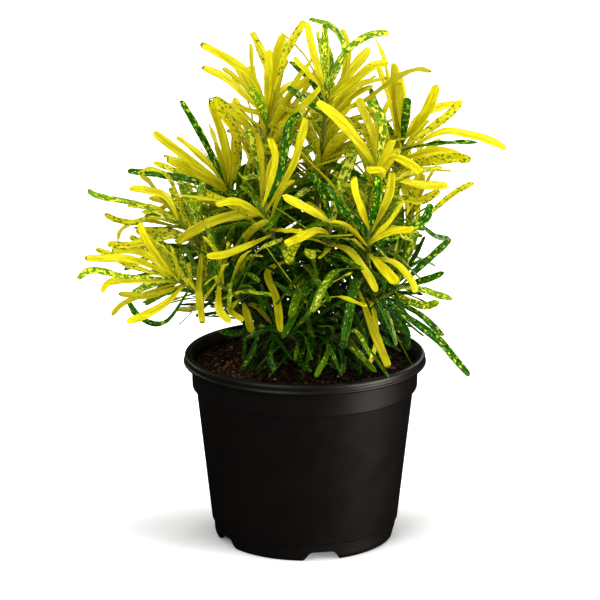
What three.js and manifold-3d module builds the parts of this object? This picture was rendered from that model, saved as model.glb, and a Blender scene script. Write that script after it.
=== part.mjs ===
// Potted croton: a narrow-leaved croton, gold with green specks, in a plain black nursery pot.
// Millimetres, +Z up. The origin is on the pot's axis, on the surface that the pot stands on.
// -Y is the front. The pot, the soil and each leafy stem are solids of their own.
import * as THREE from 'three';
import { mergeVertices } from 'three/addons/utils/BufferGeometryUtils.js';
import Module from 'manifold-3d';

const wasm = await Module();
wasm.setup();

// ---------------------------------------------------------------- driving dimensions

const SIDES = 32; // flats round the pot and the soil
const POT = {
  height: 133.4,
  rimRadius: 85.2,
  rimDepth: 7.2, // from the rim's top to its underside
  lipRadius: 80.5, // inner edge of the rim's top
  shoulderRadius: 79.6, // the band that stiffens the pot, right under its rim
  shoulderFootRadius: 79.1, // and at its lower edge
  ledge: 109.2, // height of the shoulder's lower edge, where the tapered wall ends
  bodyTopRadius: 76.5,
  bodyBottomRadius: 66.1,
  footBandTop: 12.9, // the foot steps in below this height
  footBandRadius: 64.8,
  footRadius: 61.9,
  wall: 1.5,
  footWidth: 2.1, // the flat ring that the pot stands on
  floorBottom: 7.2,
};
const NOTCH = { half: 13, topHalf: 7.7, height: 6.8, corner: 1.6, turns: [10.9, 82.9, 154.9, -133.1, -61.1] };
const DRAIN = { count: 8, radius: 4.5, ring: 47 };

const SOIL = { edge: 124.5, crown: 127.5, relief: 1.1, rings: 4 };
const GAP = 0.3; // between solids that lie against each other

// foot is how deep the trunks start in the soil, and clear the room kept round their middle line.
const TRUNK = { foot: 96, radius: 4.2, topRadius: 3, shootRadius: 2.2, tipRadius: 1.3, clear: 5 };
// A blade is flat above and has a keel below. above is how far the flat face lies above the
// leaf's middle line, and keel the blade's whole depth along its middle.
const BLADE = { width: 5.6, length: 84, above: 0.2, keel: 1.4 };
// Leaves that root low on the plant, in its own shade, are narrower: from this share of the full
// width at the lower height, evenly to all of it at the upper one.
const SHADED = { share: 0.62, low: 150, high: 220 };
// Share of the leaf's length, and the share of its full width that the blade has there.
const BLADE_OUTLINE = [[0, 0.3], [0.14, 0.48], [0.42, 0.96], [0.8, 0.95], [1, 0.34]];

// ---------------------------------------------------------------- small vector tools

const V = (x, y, z) => new THREE.Vector3(x, y, z);
const UP = V(0, 0, 1);
const radians = THREE.MathUtils.degToRad;
const mix = (a, b, share) => a + (b - a) * share;

// A smooth curve through the listed points. share runs from 0 at the first to 1 at the last.
function through(points, share) {
  const spans = points.length - 1;
  const i = Math.min(Math.floor(share * spans), spans - 1);
  const f = share * spans - i;
  const here = points[i];
  const next = points[i + 1];
  const before = i > 0 ? points[i - 1] : here.clone().multiplyScalar(2).sub(next);
  const after = i + 2 <= spans ? points[i + 2] : next.clone().multiplyScalar(2).sub(here);
  const blend = (a, b, c, d) =>
    0.5 * (2 * b + (c - a) * f + (2 * a - 5 * b + 4 * c - d) * f * f + (3 * b - a - 3 * c + d) * f ** 3);
  return V(
    blend(before.x, here.x, next.x, after.x),
    blend(before.y, here.y, next.y, after.y),
    blend(before.z, here.z, next.z, after.z),
  );
}

// The curve's direction there.
function heading(points, share) {
  const back = through(points, Math.max(0, share - 0.01));
  const ahead = through(points, Math.min(1, share + 0.01));
  return ahead.sub(back).normalize();
}

// A seeded stream of numbers from 0 to 1, so that the plant grows alike every time.
function stream(seed) {
  let state = seed >>> 0;
  return () => {
    state = (state + 0x6d2b79f5) >>> 0;
    let bits = Math.imul(state ^ (state >>> 15), state | 1);
    bits = (bits + Math.imul(bits ^ (bits >>> 7), bits | 61)) ^ bits;
    return ((bits ^ (bits >>> 14)) >>> 0) / 4294967296;
  };
}

// ---------------------------------------------------------------- solids

const toSolid = (geometry) => {
  const bare = geometry.clone();
  bare.deleteAttribute('normal');
  bare.deleteAttribute('uv');
  const merged = mergeVertices(bare, 1e-4);
  const triangles = [];
  for (let k = 0; k < merged.index.count; k += 3) {
    const [a, b, c] = merged.index.array.slice(k, k + 3);
    if (a !== b && b !== c && c !== a) triangles.push(a, b, c);
  }
  return new wasm.Manifold(new wasm.Mesh({
    numProp: 3,
    vertProperties: new Float32Array(merged.attributes.position.array),
    triVerts: new Uint32Array(triangles),
  }));
};

const toGeometry = (solid) => {
  const { vertProperties, triVerts } = solid.getMesh();
  const geometry = new THREE.BufferGeometry();
  geometry.setAttribute('position', new THREE.BufferAttribute(vertProperties, 3));
  geometry.setIndex(new THREE.BufferAttribute(triVerts, 1));
  return geometry;
};

// A closed body through a row of rings that all have the same number of corners. The two
// faces of a flat section are split along the same diagonals, so that a twisted blade's
// faces stay apart.
function sweep(rings) {
  const corners = rings[0].length;
  const positions = rings.flat().flatMap((point) => [point.x, point.y, point.z]);
  const index = [];
  for (let ring = 0; ring < rings.length - 1; ring += 1) {
    for (let k = 0; k < corners; k += 1) {
      const a = ring * corners + k;
      const b = ring * corners + ((k + 1) % corners);
      const c = b + corners;
      const d = a + corners;
      if (k < Math.floor(corners / 2)) index.push(a, b, c, a, c, d);
      else index.push(a, b, d, b, c, d);
    }
  }
  const last = (rings.length - 1) * corners;
  for (let k = 1; k < corners - 1; k += 1) {
    index.push(0, k + 1, k, last, last + k, last + k + 1);
  }
  const geometry = new THREE.BufferGeometry();
  geometry.setAttribute('position', new THREE.Float32BufferAttribute(positions, 3));
  geometry.setIndex(index);
  return geometry;
}

// ---------------------------------------------------------------- the pot and its soil

const innerLedge = POT.ledge + POT.wall;
const slope = (POT.bodyTopRadius - POT.bodyBottomRadius) / (POT.ledge - POT.footBandTop);
const innerWall = (z) => (z >= innerLedge
  ? POT.shoulderFootRadius - POT.wall
  : POT.bodyBottomRadius - POT.wall + slope * (z - POT.footBandTop));

// The pot is moulded in one: foot ring, raised floor, tapered wall, shoulder and rolled rim.
function potGeometry() {
  const { height, rimRadius, wall } = POT;
  const rimBottom = height - POT.rimDepth;
  const floorTop = POT.floorBottom + wall;
  const footInner = POT.footRadius - POT.footWidth;
  const profile = [
    // under the raised floor and round the foot ring
    [0, POT.floorBottom],
    [footInner + 0.6, POT.floorBottom],
    [footInner, 0],
    [POT.footRadius, 0],
    [POT.footRadius + 1.5, 1],
    [POT.footBandRadius - 0.7, 3],
    // the foot band, and the step out to the tapered wall
    [POT.footBandRadius, POT.footBandTop - 0.5],
    [POT.bodyBottomRadius, POT.footBandTop],
    // up the wall, out under the shoulder's ledge and up the shoulder
    [POT.bodyTopRadius, POT.ledge],
    [POT.shoulderFootRadius - 0.4, POT.ledge],
    [POT.shoulderFootRadius, POT.ledge + 0.5],
    [POT.shoulderRadius, rimBottom],
    // the rim, with a bead along its lower edge
    [rimRadius - 0.7, rimBottom],
    [rimRadius, rimBottom + 0.9],
    [rimRadius - 0.1, rimBottom + 1.7],
    [rimRadius - 0.9, rimBottom + 2.6],
    [rimRadius - 0.7, height - 1.8],
    [rimRadius - 2, height],
    // over the lip and down the inside
    [POT.lipRadius, height],
    [POT.lipRadius - 1.2, height - 1.4],
    [POT.shoulderRadius - wall, height - 5],
    [innerWall(innerLedge), innerLedge + 0.4],
    [innerWall(POT.ledge), innerLedge],
    [innerWall(floorTop + 1.2), floorTop + 1.2],
    [innerWall(floorTop) - 1.2, floorTop],
    [0, floorTop],
  ].map(([radius, z]) => new THREE.Vector2(radius, z));
  const body = new THREE.LatheGeometry(profile, SIDES).rotateX(Math.PI / 2);
  return toGeometry(toSolid(body).subtract(wasm.Manifold.union([...notches(), ...drainHoles()])));
}

// The gaps under the foot ring let the water run out. Each is a low arch with round corners.
function notches() {
  const { half, topHalf, height, corner } = NOTCH;
  const below = 2;
  const arch = new THREE.Shape();
  arch.moveTo(-half - below * ((half - topHalf) / height), -below);
  arch.lineTo(-topHalf - corner * 0.8, height - corner);
  arch.lineTo(-topHalf, height);
  arch.lineTo(topHalf, height);
  arch.lineTo(topHalf + corner * 0.8, height - corner);
  arch.lineTo(half + below * ((half - topHalf) / height), -below);
  const reach = 20;
  return NOTCH.turns.map((turn) => toSolid(
    new THREE.ExtrudeGeometry(arch, { depth: reach, bevelEnabled: false })
      .rotateX(Math.PI / 2)
      .translate(0, -POT.footRadius + reach / 2, 0)
      .rotateZ(radians(turn)),
  ));
}

function drainHoles() {
  const middle = POT.floorBottom + POT.wall / 2;
  return Array.from({ length: DRAIN.count }, (_, k) => toSolid(
    new THREE.CylinderGeometry(DRAIN.radius, DRAIN.radius, POT.wall * 4, 10)
      .rotateX(Math.PI / 2)
      .translate(DRAIN.ring, 0, middle)
      .rotateZ((k * 2 * Math.PI) / DRAIN.count),
  ));
}

// How high the soil's surface lies: mounded towards the middle, with low uneven lumps.
function soilHeight(x, y) {
  const share = Math.min(1, Math.hypot(x, y) / innerWall(SOIL.edge));
  const lumps = Math.sin(x * 0.13 + 1) * Math.cos(y * 0.11) + 0.6 * Math.sin(x * 0.05 - y * 0.21 + 2);
  return mix(SOIL.crown, SOIL.edge, share * share) + SOIL.relief * lumps * (1 - share ** 6) * 0.6;
}

function soilGeometry(holes) {
  const bottom = POT.floorBottom + POT.wall + GAP;
  const reach = (z) => innerWall(z) - GAP;
  const rings = [
    [reach(bottom + 1.2) - 1.4, bottom],
    [reach(bottom + 1.2), bottom + 1.2],
    [reach(POT.ledge), innerLedge],
    [reach(innerLedge), innerLedge + 0.8],
  ].map(([radius, z]) => ring(radius, () => z));
  for (let k = SOIL.rings; k > 0; k -= 1) {
    rings.push(ring((reach(SOIL.edge) * k) / SOIL.rings, soilHeight));
  }
  rings.push(ring(2, soilHeight));
  const body = toSolid(sweep(rings));
  return toGeometry(body.subtract(wasm.Manifold.union(holes)));
}

function ring(radius, height) {
  return Array.from({ length: SIDES }, (_, k) => {
    const turn = (k * 2 * Math.PI) / SIDES;
    const x = radius * Math.sin(turn);
    const y = radius * -Math.cos(turn);
    return V(x, y, height(x, y));
  });
}

// ---------------------------------------------------------------- how the plant is laid out

// Shoots and the leaves that show are placed as they are sighted from the front. A place
// [across, up, depth] is where the sight line meets the upright plane through the pot's axis,
// and how far behind (+) or before (-) that plane the thing really is.
const EYE = { distance: 1578, height: 590 };
function sighted([across, up, depth]) {
  const stretch = 1 + depth / EYE.distance;
  return V(across * stretch, depth, EYE.height + (up - EYE.height) * stretch);
}
function sightOf(point) {
  const stretch = 1 + point.y / EYE.distance;
  return [point.x / stretch, EYE.height + (point.z - EYE.height) / stretch];
}

// Each stem rises from its hole, [x, y], to a fork, where its shoots start. A shoot's path runs
// on from the fork. A leaf is [width as it shows, lean, tip, then places on the way to its
// root], with each place [across, up]. lean is how far its tip comes to the front (-1) or goes
// to the back (+1). fill is the number of further leaves that are set round the shoot.
const STEMS = {
  stem_left: {
    hole: [-27, -3],
    fork: [-33, 158, -18],
    shoots: [
      {
        path: [[-62, 170, -32], [-92, 186, -44]], fill: 5,
        leaves: [
          [4.5, -1.3, [-158, 185], [-150, 191], [-138, 190], [-125, 187]],
          [5, -0.6, [-153, 200], [-140, 200], [-125, 200], [-110, 196]],
          [4.5, 0.2, [-142, 176], [-135, 183], [-118, 184]],
          [4, -0.4, [-130, 174], [-108, 173]],
          [5, 0.7, [-120, 175], [-108, 181]],
          [3.5, -0.2, [-135, 159], [-127, 167], [-112, 174]],
          [3.5, 0.1, [-124, 169], [-118, 160], [-108, 153], [-95, 156], [-84, 172]],
          [5, -0.7, [-125, 154], [-112, 159], [-97, 168]],
          [4, 0.4, [-145, 207], [-135, 202], [-120, 194]],
          [4.5, -0.8, [-115, 225], [-110, 213], [-100, 198]],
          [5, 0.5, [-134, 206], [-112, 204]],
        ],
      },
      {
        path: [[-58, 196, -16], [-88, 227, -14]], fill: 5,
        leaves: [
          [4, -0.3, [-150, 248], [-140, 243], [-118, 239]],
          [4, -0.3, [-139, 231], [-130, 227], [-118, 225], [-105, 229]],
          [2.5, 0.6, [-114, 260], [-105, 251]],
          [5, 0.3, [-121, 250], [-108, 248], [-95, 243]],
          [3.5, 0.7, [-130, 213], [-126, 221], [-112, 227]],
          [2, 0.9, [-118, 222], [-105, 221]],
          [5, -0.2, [-137, 210], [-125, 209], [-108, 212]],
          [6.5, -0.9, [-24, 234], [-45, 231], [-62, 227], [-78, 219], [-89, 211]],
          [4.5, -0.8, [-72, 153], [-74, 178], [-77, 205]],
          [2.5, 0.5, [-115, 261], [-104, 263], [-92, 254]],
        ],
      },
      {
        path: [[-48, 174, -44], [-62, 183, -60]], fill: 5,
        leaves: [
          [4, 0.6, [-90, 163], [-76, 165]],
          [5, -0.6, [-52, 154], [-60, 164], [-64, 176]],
          [5, -0.3, [-37, 146], [-40, 158], [-46, 167]],
          [4, -0.7, [-43, 155], [-52, 163]],
          [3.5, -0.1, [-23, 152], [-33, 165], [-40, 172]],
          [4, 0.2, [-57, 181], [-50, 196]],
        ],
      },
    ],
  },
  stem_upper_left: {
    hole: [-12, 15],
    fork: [-19, 190, 10],
    shoots: [
      {
        path: [[-23, 250, 8], [-26, 306, 6]], fill: 8,
        leaves: [
          [5.5, -0.2, [-71, 350], [-50, 338], [-35, 325]],
          [5, 0.5, [-70, 334], [-55, 327], [-40, 314]],
          [5, 0.7, [-36, 358], [-30, 345], [-25, 328]],
          [5.5, -0.6, [-24, 346], [-25, 322]],
          [6, -0.9, [-38, 321], [-30, 308], [-23, 290]],
          [5, 0.2, [0, 365], [-3, 361], [-12, 345], [-20, 325]],
          [5, 0.8, [-7, 324], [-18, 314]],
          [5, -0.7, [12, 321], [-12, 297]],
          [4.5, -0.8, [-63, 312], [-55, 298], [-40, 286]],
          [4, 0.6, [-53, 309], [-38, 304]],
          [2.5, -0.5, [-50, 306], [-35, 296]],
        ],
      },
      {
        path: [[-38, 222, 22], [-54, 252, 26]], fill: 6,
        leaves: [
          [5.5, -0.3, [-65, 310], [-57, 288], [-53, 268]],
          [5.5, 0.4, [-54, 306], [-48, 288], [-46, 270]],
          [4.5, 0.2, [-85, 311], [-72, 288], [-62, 268]],
          [5.5, -0.2, [-104, 289], [-90, 278], [-72, 264]],
          [4, 0.5, [-88, 286], [-75, 275], [-63, 263]],
          [5.5, -0.8, [-95, 270], [-80, 263], [-60, 252]],
          [4, -0.7, [-62, 281], [-57, 266]],
          [4, 0.8, [-104, 268], [-80, 258]],
          [5, 0.1, [-122, 262], [-98, 259], [-74, 254]],
        ],
      },
    ],
  },
  stem_centre: {
    hole: [3, -1],
    fork: [2, 176, -20],
    shoots: [
      {
        path: [[9, 250, -8], [16, 320, 0]], fill: 9,
        leaves: [
          [5, 0.2, [1, 365], [5, 345], [10, 330]],
          [4, 0.6, [3, 367], [15, 363], [23, 356], [26, 342]],
          [5, -0.4, [13, 363], [13, 345]],
          [5, 0.3, [57, 357], [45, 356], [33, 349], [22, 336]],
          [4.5, 0.5, [25, 360], [29, 346], [26, 326]],
          [4, -0.9, [8, 358], [11, 340]],
          [5, 0.8, [15, 348], [18, 330]],
          [5.5, -0.3, [57, 337], [45, 334], [30, 322]],
          [3.5, 0.4, [86, 331], [75, 332], [60, 325], [38, 309]],
          [4.5, 0.7, [-10, 338], [3, 326]],
          [5, -0.8, [-8, 340], [4, 328]],
          [5, -0.5, [-12, 320], [0, 311]],
        ],
      },
      {
        path: [[-17, 206, -40], [-30, 237, -48]], fill: 6,
        leaves: [
          [5, 0.6, [-3, 302], [-11, 294], [-14, 272], [-20, 252]],
          [5, -0.3, [1, 300], [-3, 283], [-10, 262]],
          [4, 0.3, [-33, 290], [-30, 268]],
          [4.5, -0.5, [-24, 286], [-20, 271], [-24, 253]],
          [5, -0.6, [-17, 147], [-20, 171], [-26, 190]],
          [5, -0.7, [-68, 201], [-52, 204]],
          [3.5, -0.9, [-3, 219], [-18, 220]],
          [5, -0.4, [-62, 238], [-46, 240]],
        ],
      },
      {
        path: [[12, 200, -46], [19, 226, -62]], fill: 5,
        leaves: [
          [5.5, -0.8, [-14, 210], [-5, 214], [8, 220]],
          [5.5, -0.4, [-15, 244], [-5, 239], [8, 232]],
          [5, 0.4, [0, 240], [11, 231]],
          [4.5, 0.3, [4, 262], [12, 246]],
          [5, -0.5, [50, 176], [42, 191], [30, 206]],
        ],
      },
    ],
  },
  stem_right: {
    hole: [34, 10],
    fork: [40, 190, 14],
    shoots: [
      {
        path: [[56, 240, 20], [68, 286, 26]], fill: 8,
        leaves: [
          [2.5, 0.3, [48, 353], [54, 338], [58, 318]],
          [5.5, -0.7, [64, 323], [65, 306]],
          [5.5, -0.9, [70, 313], [69, 300]],
          [6.5, -0.5, [90, 322], [85, 308], [77, 294]],
          [5.5, 0.2, [107, 311], [98, 301], [85, 291]],
          [5.5, 0.8, [103, 309], [90, 306], [77, 298]],
          [5.5, 1.9, [138, 278], [125, 284], [110, 288], [92, 289]],
          [3, 0.5, [118, 282], [105, 282], [88, 281]],
          [6, -0.2, [110, 271], [90, 276]],
          [6.5, -0.4, [114, 270], [100, 271], [80, 268]],
          [6, 0.6, [98, 252], [82, 252]],
          [5.5, 0, [93, 248], [78, 241]],
          [4, 0.4, [44, 320], [52, 300]],
        ],
      },
      {
        path: [[62, 205, 44], [80, 226, 64]], fill: 8,
        leaves: [
          [4, 0.3, [101, 214], [90, 216]],
          [4, 0.5, [116, 254], [100, 244]],
        ],
      },
    ],
  },
  stem_front_right: {
    hole: [23, -10],
    fork: [33, 168, -28],
    shoots: [
      {
        path: [[42, 222, -32], [49, 266, -34]], fill: 7,
        leaves: [
          [6.5, -0.9, [8, 310], [20, 301], [32, 288], [42, 275]],
          [5.5, -0.3, [36, 313], [40, 303], [46, 288]],
          [5.5, 0.3, [43, 311], [51, 302], [53, 286]],
          [5.5, -0.7, [80, 260], [73, 266], [60, 271]],
          [5, -0.5, [42, 262], [53, 262], [54, 250]],
          [5, 0.5, [15, 268], [30, 262]],
        ],
      },
      {
        path: [[42, 195, -50], [45, 221, -62]], fill: 6,
        leaves: [
          [5.5, -0.3, [50, 259], [50, 243], [47, 230]],
          [5.5, 0.4, [60, 262], [58, 245], [51, 230]],
          [5, -0.5, [33, 258], [36, 243], [41, 230]],
          [5, 0, [15, 253], [23, 238], [36, 226]],
          [5, -0.6, [76, 220], [60, 219]],
          [5.5, 0.3, [87, 239], [83, 228], [68, 218]],
          [5.5, -0.5, [59, 121], [52, 138], [45, 156], [40, 178]],
          [6.5, -0.75, [64, 182], [58, 189], [50, 204]],
          [4.5, -0.2, [77, 175], [74, 184], [62, 197], [50, 207]],
          [3, -0.6, [45, 122], [50, 143], [46, 168]],
        ],
      },
      {
        path: [[52, 172, -34], [68, 181, -36]], fill: 7,
        leaves: [
          [4.5, 0.3, [101, 214], [92, 205], [78, 192]],
          [4.5, -0.3, [97, 190], [88, 186], [78, 183]],
          [4.5, 0.6, [103, 171], [92, 174], [80, 178]],
          [5, -0.7, [94, 169], [84, 166], [72, 170]],
          [4, -0.4, [97, 144], [90, 151], [80, 160], [70, 166]],
          [5, 0.1, [116, 115], [105, 128], [95, 140], [80, 152], [66, 162]],
          [4, 0.5, [72, 134], [70, 150]],
        ],
      },
    ],
  },
  stem_back_left: {
    hole: [-20, 38],
    fork: [-27, 168, 44],
    shoots: [
      { path: [[-48, 194, 62], [-70, 220, 78]], fill: 9, leaves: [] },
      { path: [[-29, 226, 52], [-33, 274, 56]], fill: 9, leaves: [] },
      { path: [[-32, 172, 72], [-40, 184, 92]], fill: 8, leaves: [] },
    ],
  },
  stem_back_right: {
    hole: [14, 41],
    fork: [18, 168, 46],
    shoots: [
      { path: [[28, 198, 72], [38, 226, 90]], fill: 9, leaves: [] },
      { path: [[13, 230, 54], [15, 282, 52]], fill: 9, leaves: [] },
      { path: [[44, 168, 62], [64, 176, 76]], fill: 8, leaves: [] },
    ],
  },
  stem_low: {
    hole: [6, -17],
    fork: [5, 137, -34],
    shoots: [
      {
        path: [[-14, 146, -44], [-32, 152, -44]], fill: 7,
        leaves: [
          [3.2, -0.3, [-44, 120], [-38, 129]],
          [3.2, -0.5, [-21, 119], [-24, 131]],
          [3.4, 0.2, [-60, 147], [-46, 146]],
        ],
      },
      {
        path: [[22, 144, -44], [38, 150, -46]], fill: 7,
        leaves: [
          [3.2, -0.4, [27, 117], [26, 130]],
          [3.2, -0.2, [62, 136], [50, 145]],
        ],
      },
      {
        path: [[3, 152, -52], [2, 170, -58]], fill: 7,
        leaves: [
          [3.4, -0.5, [5, 118], [-4, 127], [-4, 140]],
        ],
      },
    ],
  },
};

const CROWN_MIDDLE = 230; // height that the eye looks at
const EYE_WARD = V(0, -EYE.distance, EYE.height - CROWN_MIDDLE).normalize();

// The crown's outline from the front, as [up, across at the left, across at the right].
const CROWN = [
  [112, -50, 90], [136, -76, 92], [153, -112, 94], [171, -124, 94], [188, -138, 94], [210, -128, 96],
  [227, -124, 86], [245, -128, 92], [266, -104, 106], [280, -96, 116], [308, -80, 98], [326, -66, 82],
  [347, -58, 52], [362, -10, 24],
];
const CROWN_DEPTH = 122; // the crown's reach to the front and to the back

function insideCrown(point) {
  const [across, up] = sightOf(point);
  if (up < CROWN[0][0] || up > CROWN.at(-1)[0] || Math.abs(point.y) > CROWN_DEPTH) return false;
  const k = Math.min(CROWN.findIndex((row) => row[0] >= up), CROWN.length - 1) || 1;
  const [low, high] = [CROWN[k - 1], CROWN[k]];
  const share = (up - low[0]) / (high[0] - low[0]);
  const left = mix(low[1], high[1], share);
  const right = mix(low[2], high[2], share);
  const round = Math.sqrt(1 - (point.y / (CROWN_DEPTH * 1.25)) ** 2);
  const centre = (left + right) / 2;
  return Math.abs(across - centre) < ((right - left) / 2) * round;
}

// Clear of the soil's surface, of the pot's rim and of its wall.
const CLEAR = { soil: 2, wall: 4, rim: 2.5 };
function clearOfPot({ x, y, z }) {
  const radius = Math.hypot(x, y);
  if (radius < POT.shoulderRadius - CLEAR.wall) return z > soilHeight(x, y) + CLEAR.soil;
  return z > POT.height + CLEAR.rim || radius > POT.rimRadius + CLEAR.rim;
}

// The room that is taken, in small cubes. near holds who owns a cube, or SEVERAL.
const CUBE = 1.5;
const APART = 3.6; // from another stem's leaves
const ASIDE = 2.3; // from the same stem's leaves
const ROOTS_APART = 3.2; // leaves on one shoot root at least this far from each other where they can
const STALK = 12; // a leaf may touch its own stem's leaves this far from its root
const SEVERAL = -1;
const near = new Map();
const close = new Set();
const cubeOf = (x, y, z) =>
  (Math.floor(x / CUBE) + 512) * 1048576 + (Math.floor(y / CUBE) + 512) * 1024 + Math.floor(z / CUBE);

function take(point, radius, mark) {
  const steps = Math.ceil(radius / CUBE);
  const middle = (value) => (Math.floor(value / CUBE) + 0.5) * CUBE;
  const [cx, cy, cz] = [middle(point.x), middle(point.y), middle(point.z)];
  for (let i = -steps; i <= steps; i += 1) {
    for (let j = -steps; j <= steps; j += 1) {
      for (let k = -steps; k <= steps; k += 1) {
        const [x, y, z] = [cx + i * CUBE, cy + j * CUBE, cz + k * CUBE];
        if ((x - point.x) ** 2 + (y - point.y) ** 2 + (z - point.z) ** 2 < radius ** 2) mark(cubeOf(x, y, z));
      }
    }
  }
}

function own(owner) {
  return (cube) => near.set(cube, near.has(cube) && near.get(cube) !== owner ? SEVERAL : owner);
}

// ---------------------------------------------------------------- leaves

// Where a leaf's middle line runs, which way it faces and how wide it is there.
function section(leaf, share) {
  const point = through(leaf.line, share);
  const along = heading(leaf.line, share);
  const face = leaf.facing(along, share);
  face.addScaledVector(along, -face.dot(along)).normalize();
  const across = along.clone().cross(face);
  return { point, face, across };
}

const fullWidth = (root) => {
  const share = THREE.MathUtils.clamp((root.z - SHADED.low) / (SHADED.high - SHADED.low), 0, 1);
  return BLADE.width * mix(SHADED.share, 1, share);
};

const widthShare = (share) => {
  const k = Math.max(1, BLADE_OUTLINE.findIndex(([at]) => at >= share));
  const [low, high] = [BLADE_OUTLINE[k - 1], BLADE_OUTLINE[k]];
  return mix(low[1], high[1], (share - low[0]) / (high[0] - low[0]));
};

// Points spread over a blade, with how far each lies from the leaf's root.
function samples(leaf) {
  const found = [];
  const steps = 46;
  let run = 0;
  let previous = leaf.line[0];
  for (let i = 0; i <= steps; i += 1) {
    const { point, across } = section(leaf, i / steps);
    run += point.distanceTo(previous);
    previous = point;
    const half = (leaf.width / 2) * widthShare(i / steps);
    for (const side of [-1, -0.5, 0, 0.5, 1]) {
      found.push({ at: point.clone().addScaledVector(across, side * half), run });
    }
  }
  return found;
}

function hasRoom(leaf, owner) {
  return samples(leaf).every(({ at, run }) => {
    const cube = cubeOf(at.x, at.y, at.z);
    const other = near.get(cube);
    if (other !== undefined && other !== owner) return false;
    return run < STALK || (!close.has(cube) && clearOfPot(at));
  });
}

// Grows the leaf on its shoot where there is room for it.
function grow(leaf, shoot, owner) {
  if (!hasRoom(leaf, owner)) return false;
  shoot.grown.push(leaf);
  for (const { at, run } of samples(leaf)) {
    take(at, APART, own(owner));
    if (run >= STALK) take(at, ASIDE, (cube) => close.add(cube));
  }
  return true;
}

const SHORTEST_REACH = 0.3; // of a leaf's length, that any listed leaf may run towards the eye or away
const BEND = 1.2; // above 1, more of that run is near the tip
const STRAIGHT_START = 9; // a listed place nearer to the root than this is left out
const LIFTED_FACE = 0.12; // how much each blade's face is turned up to the light

// A leaf that shows from the front: through its listed places, and turned about its middle
// line until its blade shows as wide as listed.
function sightedLeaf(shoot, [showing, lean, tip, ...way], change) {
  const last = way.at(-1);
  let root = null;
  let least = Infinity;
  for (let share = 0.04; share <= 1; share += 0.02) {
    const candidate = through(shoot.line, share);
    const [across, up] = sightOf(candidate);
    const crowd = shoot.grown.filter(({ line }) => line[0].distanceTo(candidate) < ROOTS_APART).length;
    const gap = Math.hypot(across - last[0], up - last[1]) + crowd * ROOTS_APART;
    if (gap < least) [least, root] = [gap, candidate];
  }
  const places = [sightOf(root), ...way.toReversed(), tip];
  const runs = [0];
  for (let k = 1; k < places.length; k += 1) {
    runs.push(runs[k - 1] + Math.hypot(places[k][0] - places[k - 1][0], places[k][1] - places[k - 1][1]));
  }
  const seen = runs.at(-1);
  const spare = Math.max(BLADE.length ** 2 - seen ** 2, (BLADE.length * SHORTEST_REACH) ** 2);
  const reach = (lean + change) * Math.sqrt(spare);
  const line = places
    .map(([across, up], k) => sighted([across, up, root.y + reach * (runs[k] / seen) ** BEND]))
    .filter((_, k) => k === 0 || runs[k] > STRAIGHT_START);
  const width = Math.max(fullWidth(root), showing);
  const shown = Math.min(1, showing / width);
  const middle = heading(line, 0.5).cross(EYE_WARD);
  const hand = Math.sign(middle.z) || 1;
  const facing = (along) => EYE_WARD.clone().multiplyScalar(shown)
    .addScaledVector(along.clone().cross(EYE_WARD), hand * Math.sqrt(1 - shown * shown))
    .addScaledVector(UP, LIFTED_FACE);
  return { line, width, facing };
}

const GOLDEN_TURN = radians(137.508);
// How leaves that are set by rule stand and how much they differ. Where there are two numbers,
// a leaf's own value lies between them.
const HABIT = {
  roots: [0.12, 0.98], // share of the shoot's length at its lowest and its top leaf
  spread: [80, 30], // degrees between the shoot and its lowest leaf, and its top leaf
  spreadVaries: 34,
  turnVaries: 1.5,
  lengths: [0.62, 1.08],
  widths: [0.82, 1.06],
  sags: [0.02, 0.3], // how far the tip hangs, as a share of the length
  sway: 0.24,
  roll: 1.5,
  twist: 1.2,
};

// A leaf set round a shoot in the order in which a shoot grows them, each a golden turn on from
// the last. Low leaves spread and hang, and top leaves stand up.
function setLeaf(shoot, count, turn) {
  const draw = shoot.draw;
  const varied = (range) => (draw() - 0.5) * range;
  const height = (count + 0.6) / (shoot.fill + 0.2);
  const place = mix(...HABIT.roots, height);
  const root = through(shoot.line, place);
  const axis = heading(shoot.line, place);
  const level = V(0, 1, 0).addScaledVector(axis, -axis.y).normalize();
  const side = axis.clone().cross(level);
  const azimuth = turn + varied(HABIT.turnVaries);
  const open = radians(mix(...HABIT.spread, height ** 1.5) + varied(HABIT.spreadVaries));
  const start = axis.clone().multiplyScalar(Math.cos(open))
    .addScaledVector(level, Math.cos(azimuth) * Math.sin(open))
    .addScaledVector(side, Math.sin(azimuth) * Math.sin(open));
  const length = BLADE.length * mix(...HABIT.lengths, draw());
  const sag = mix(...HABIT.sags, draw()) * mix(1.2, 0.5, height);
  const sway = V(varied(1), varied(1), 0).multiplyScalar(HABIT.sway * length);
  const mid = root.clone().addScaledVector(start, length * 0.5).addScaledVector(UP, length * sag * 0.2);
  const tip = root.clone().addScaledVector(start, length * 0.97).addScaledVector(UP, -length * sag).add(sway);
  const outward = V(tip.x - root.x, tip.y - root.y, 0).normalize();
  const roll = varied(HABIT.roll);
  const twist = varied(HABIT.twist);
  const facing = (along, share) => {
    const face = UP.clone().multiplyScalar(along.dot(outward)).addScaledVector(outward, -along.z);
    const angle = roll + twist * share;
    return face.multiplyScalar(Math.cos(angle)).addScaledVector(along.clone().cross(face), Math.sin(angle));
  };
  return { line: [root, mid, tip], width: fullWidth(root) * mix(...HABIT.widths, draw()), facing };
}

// ---------------------------------------------------------------- growing

const LEANS = [0, 0.1, -0.1, 0.2, -0.2, 0.3, -0.3, 0.45, -0.45, 0.6, -0.6, 0.8, -0.8, 1, -1];
const REDRAWS = 16;
const HIDING = 0.12; // the share of a leaf that may stand before listed ones

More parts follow.
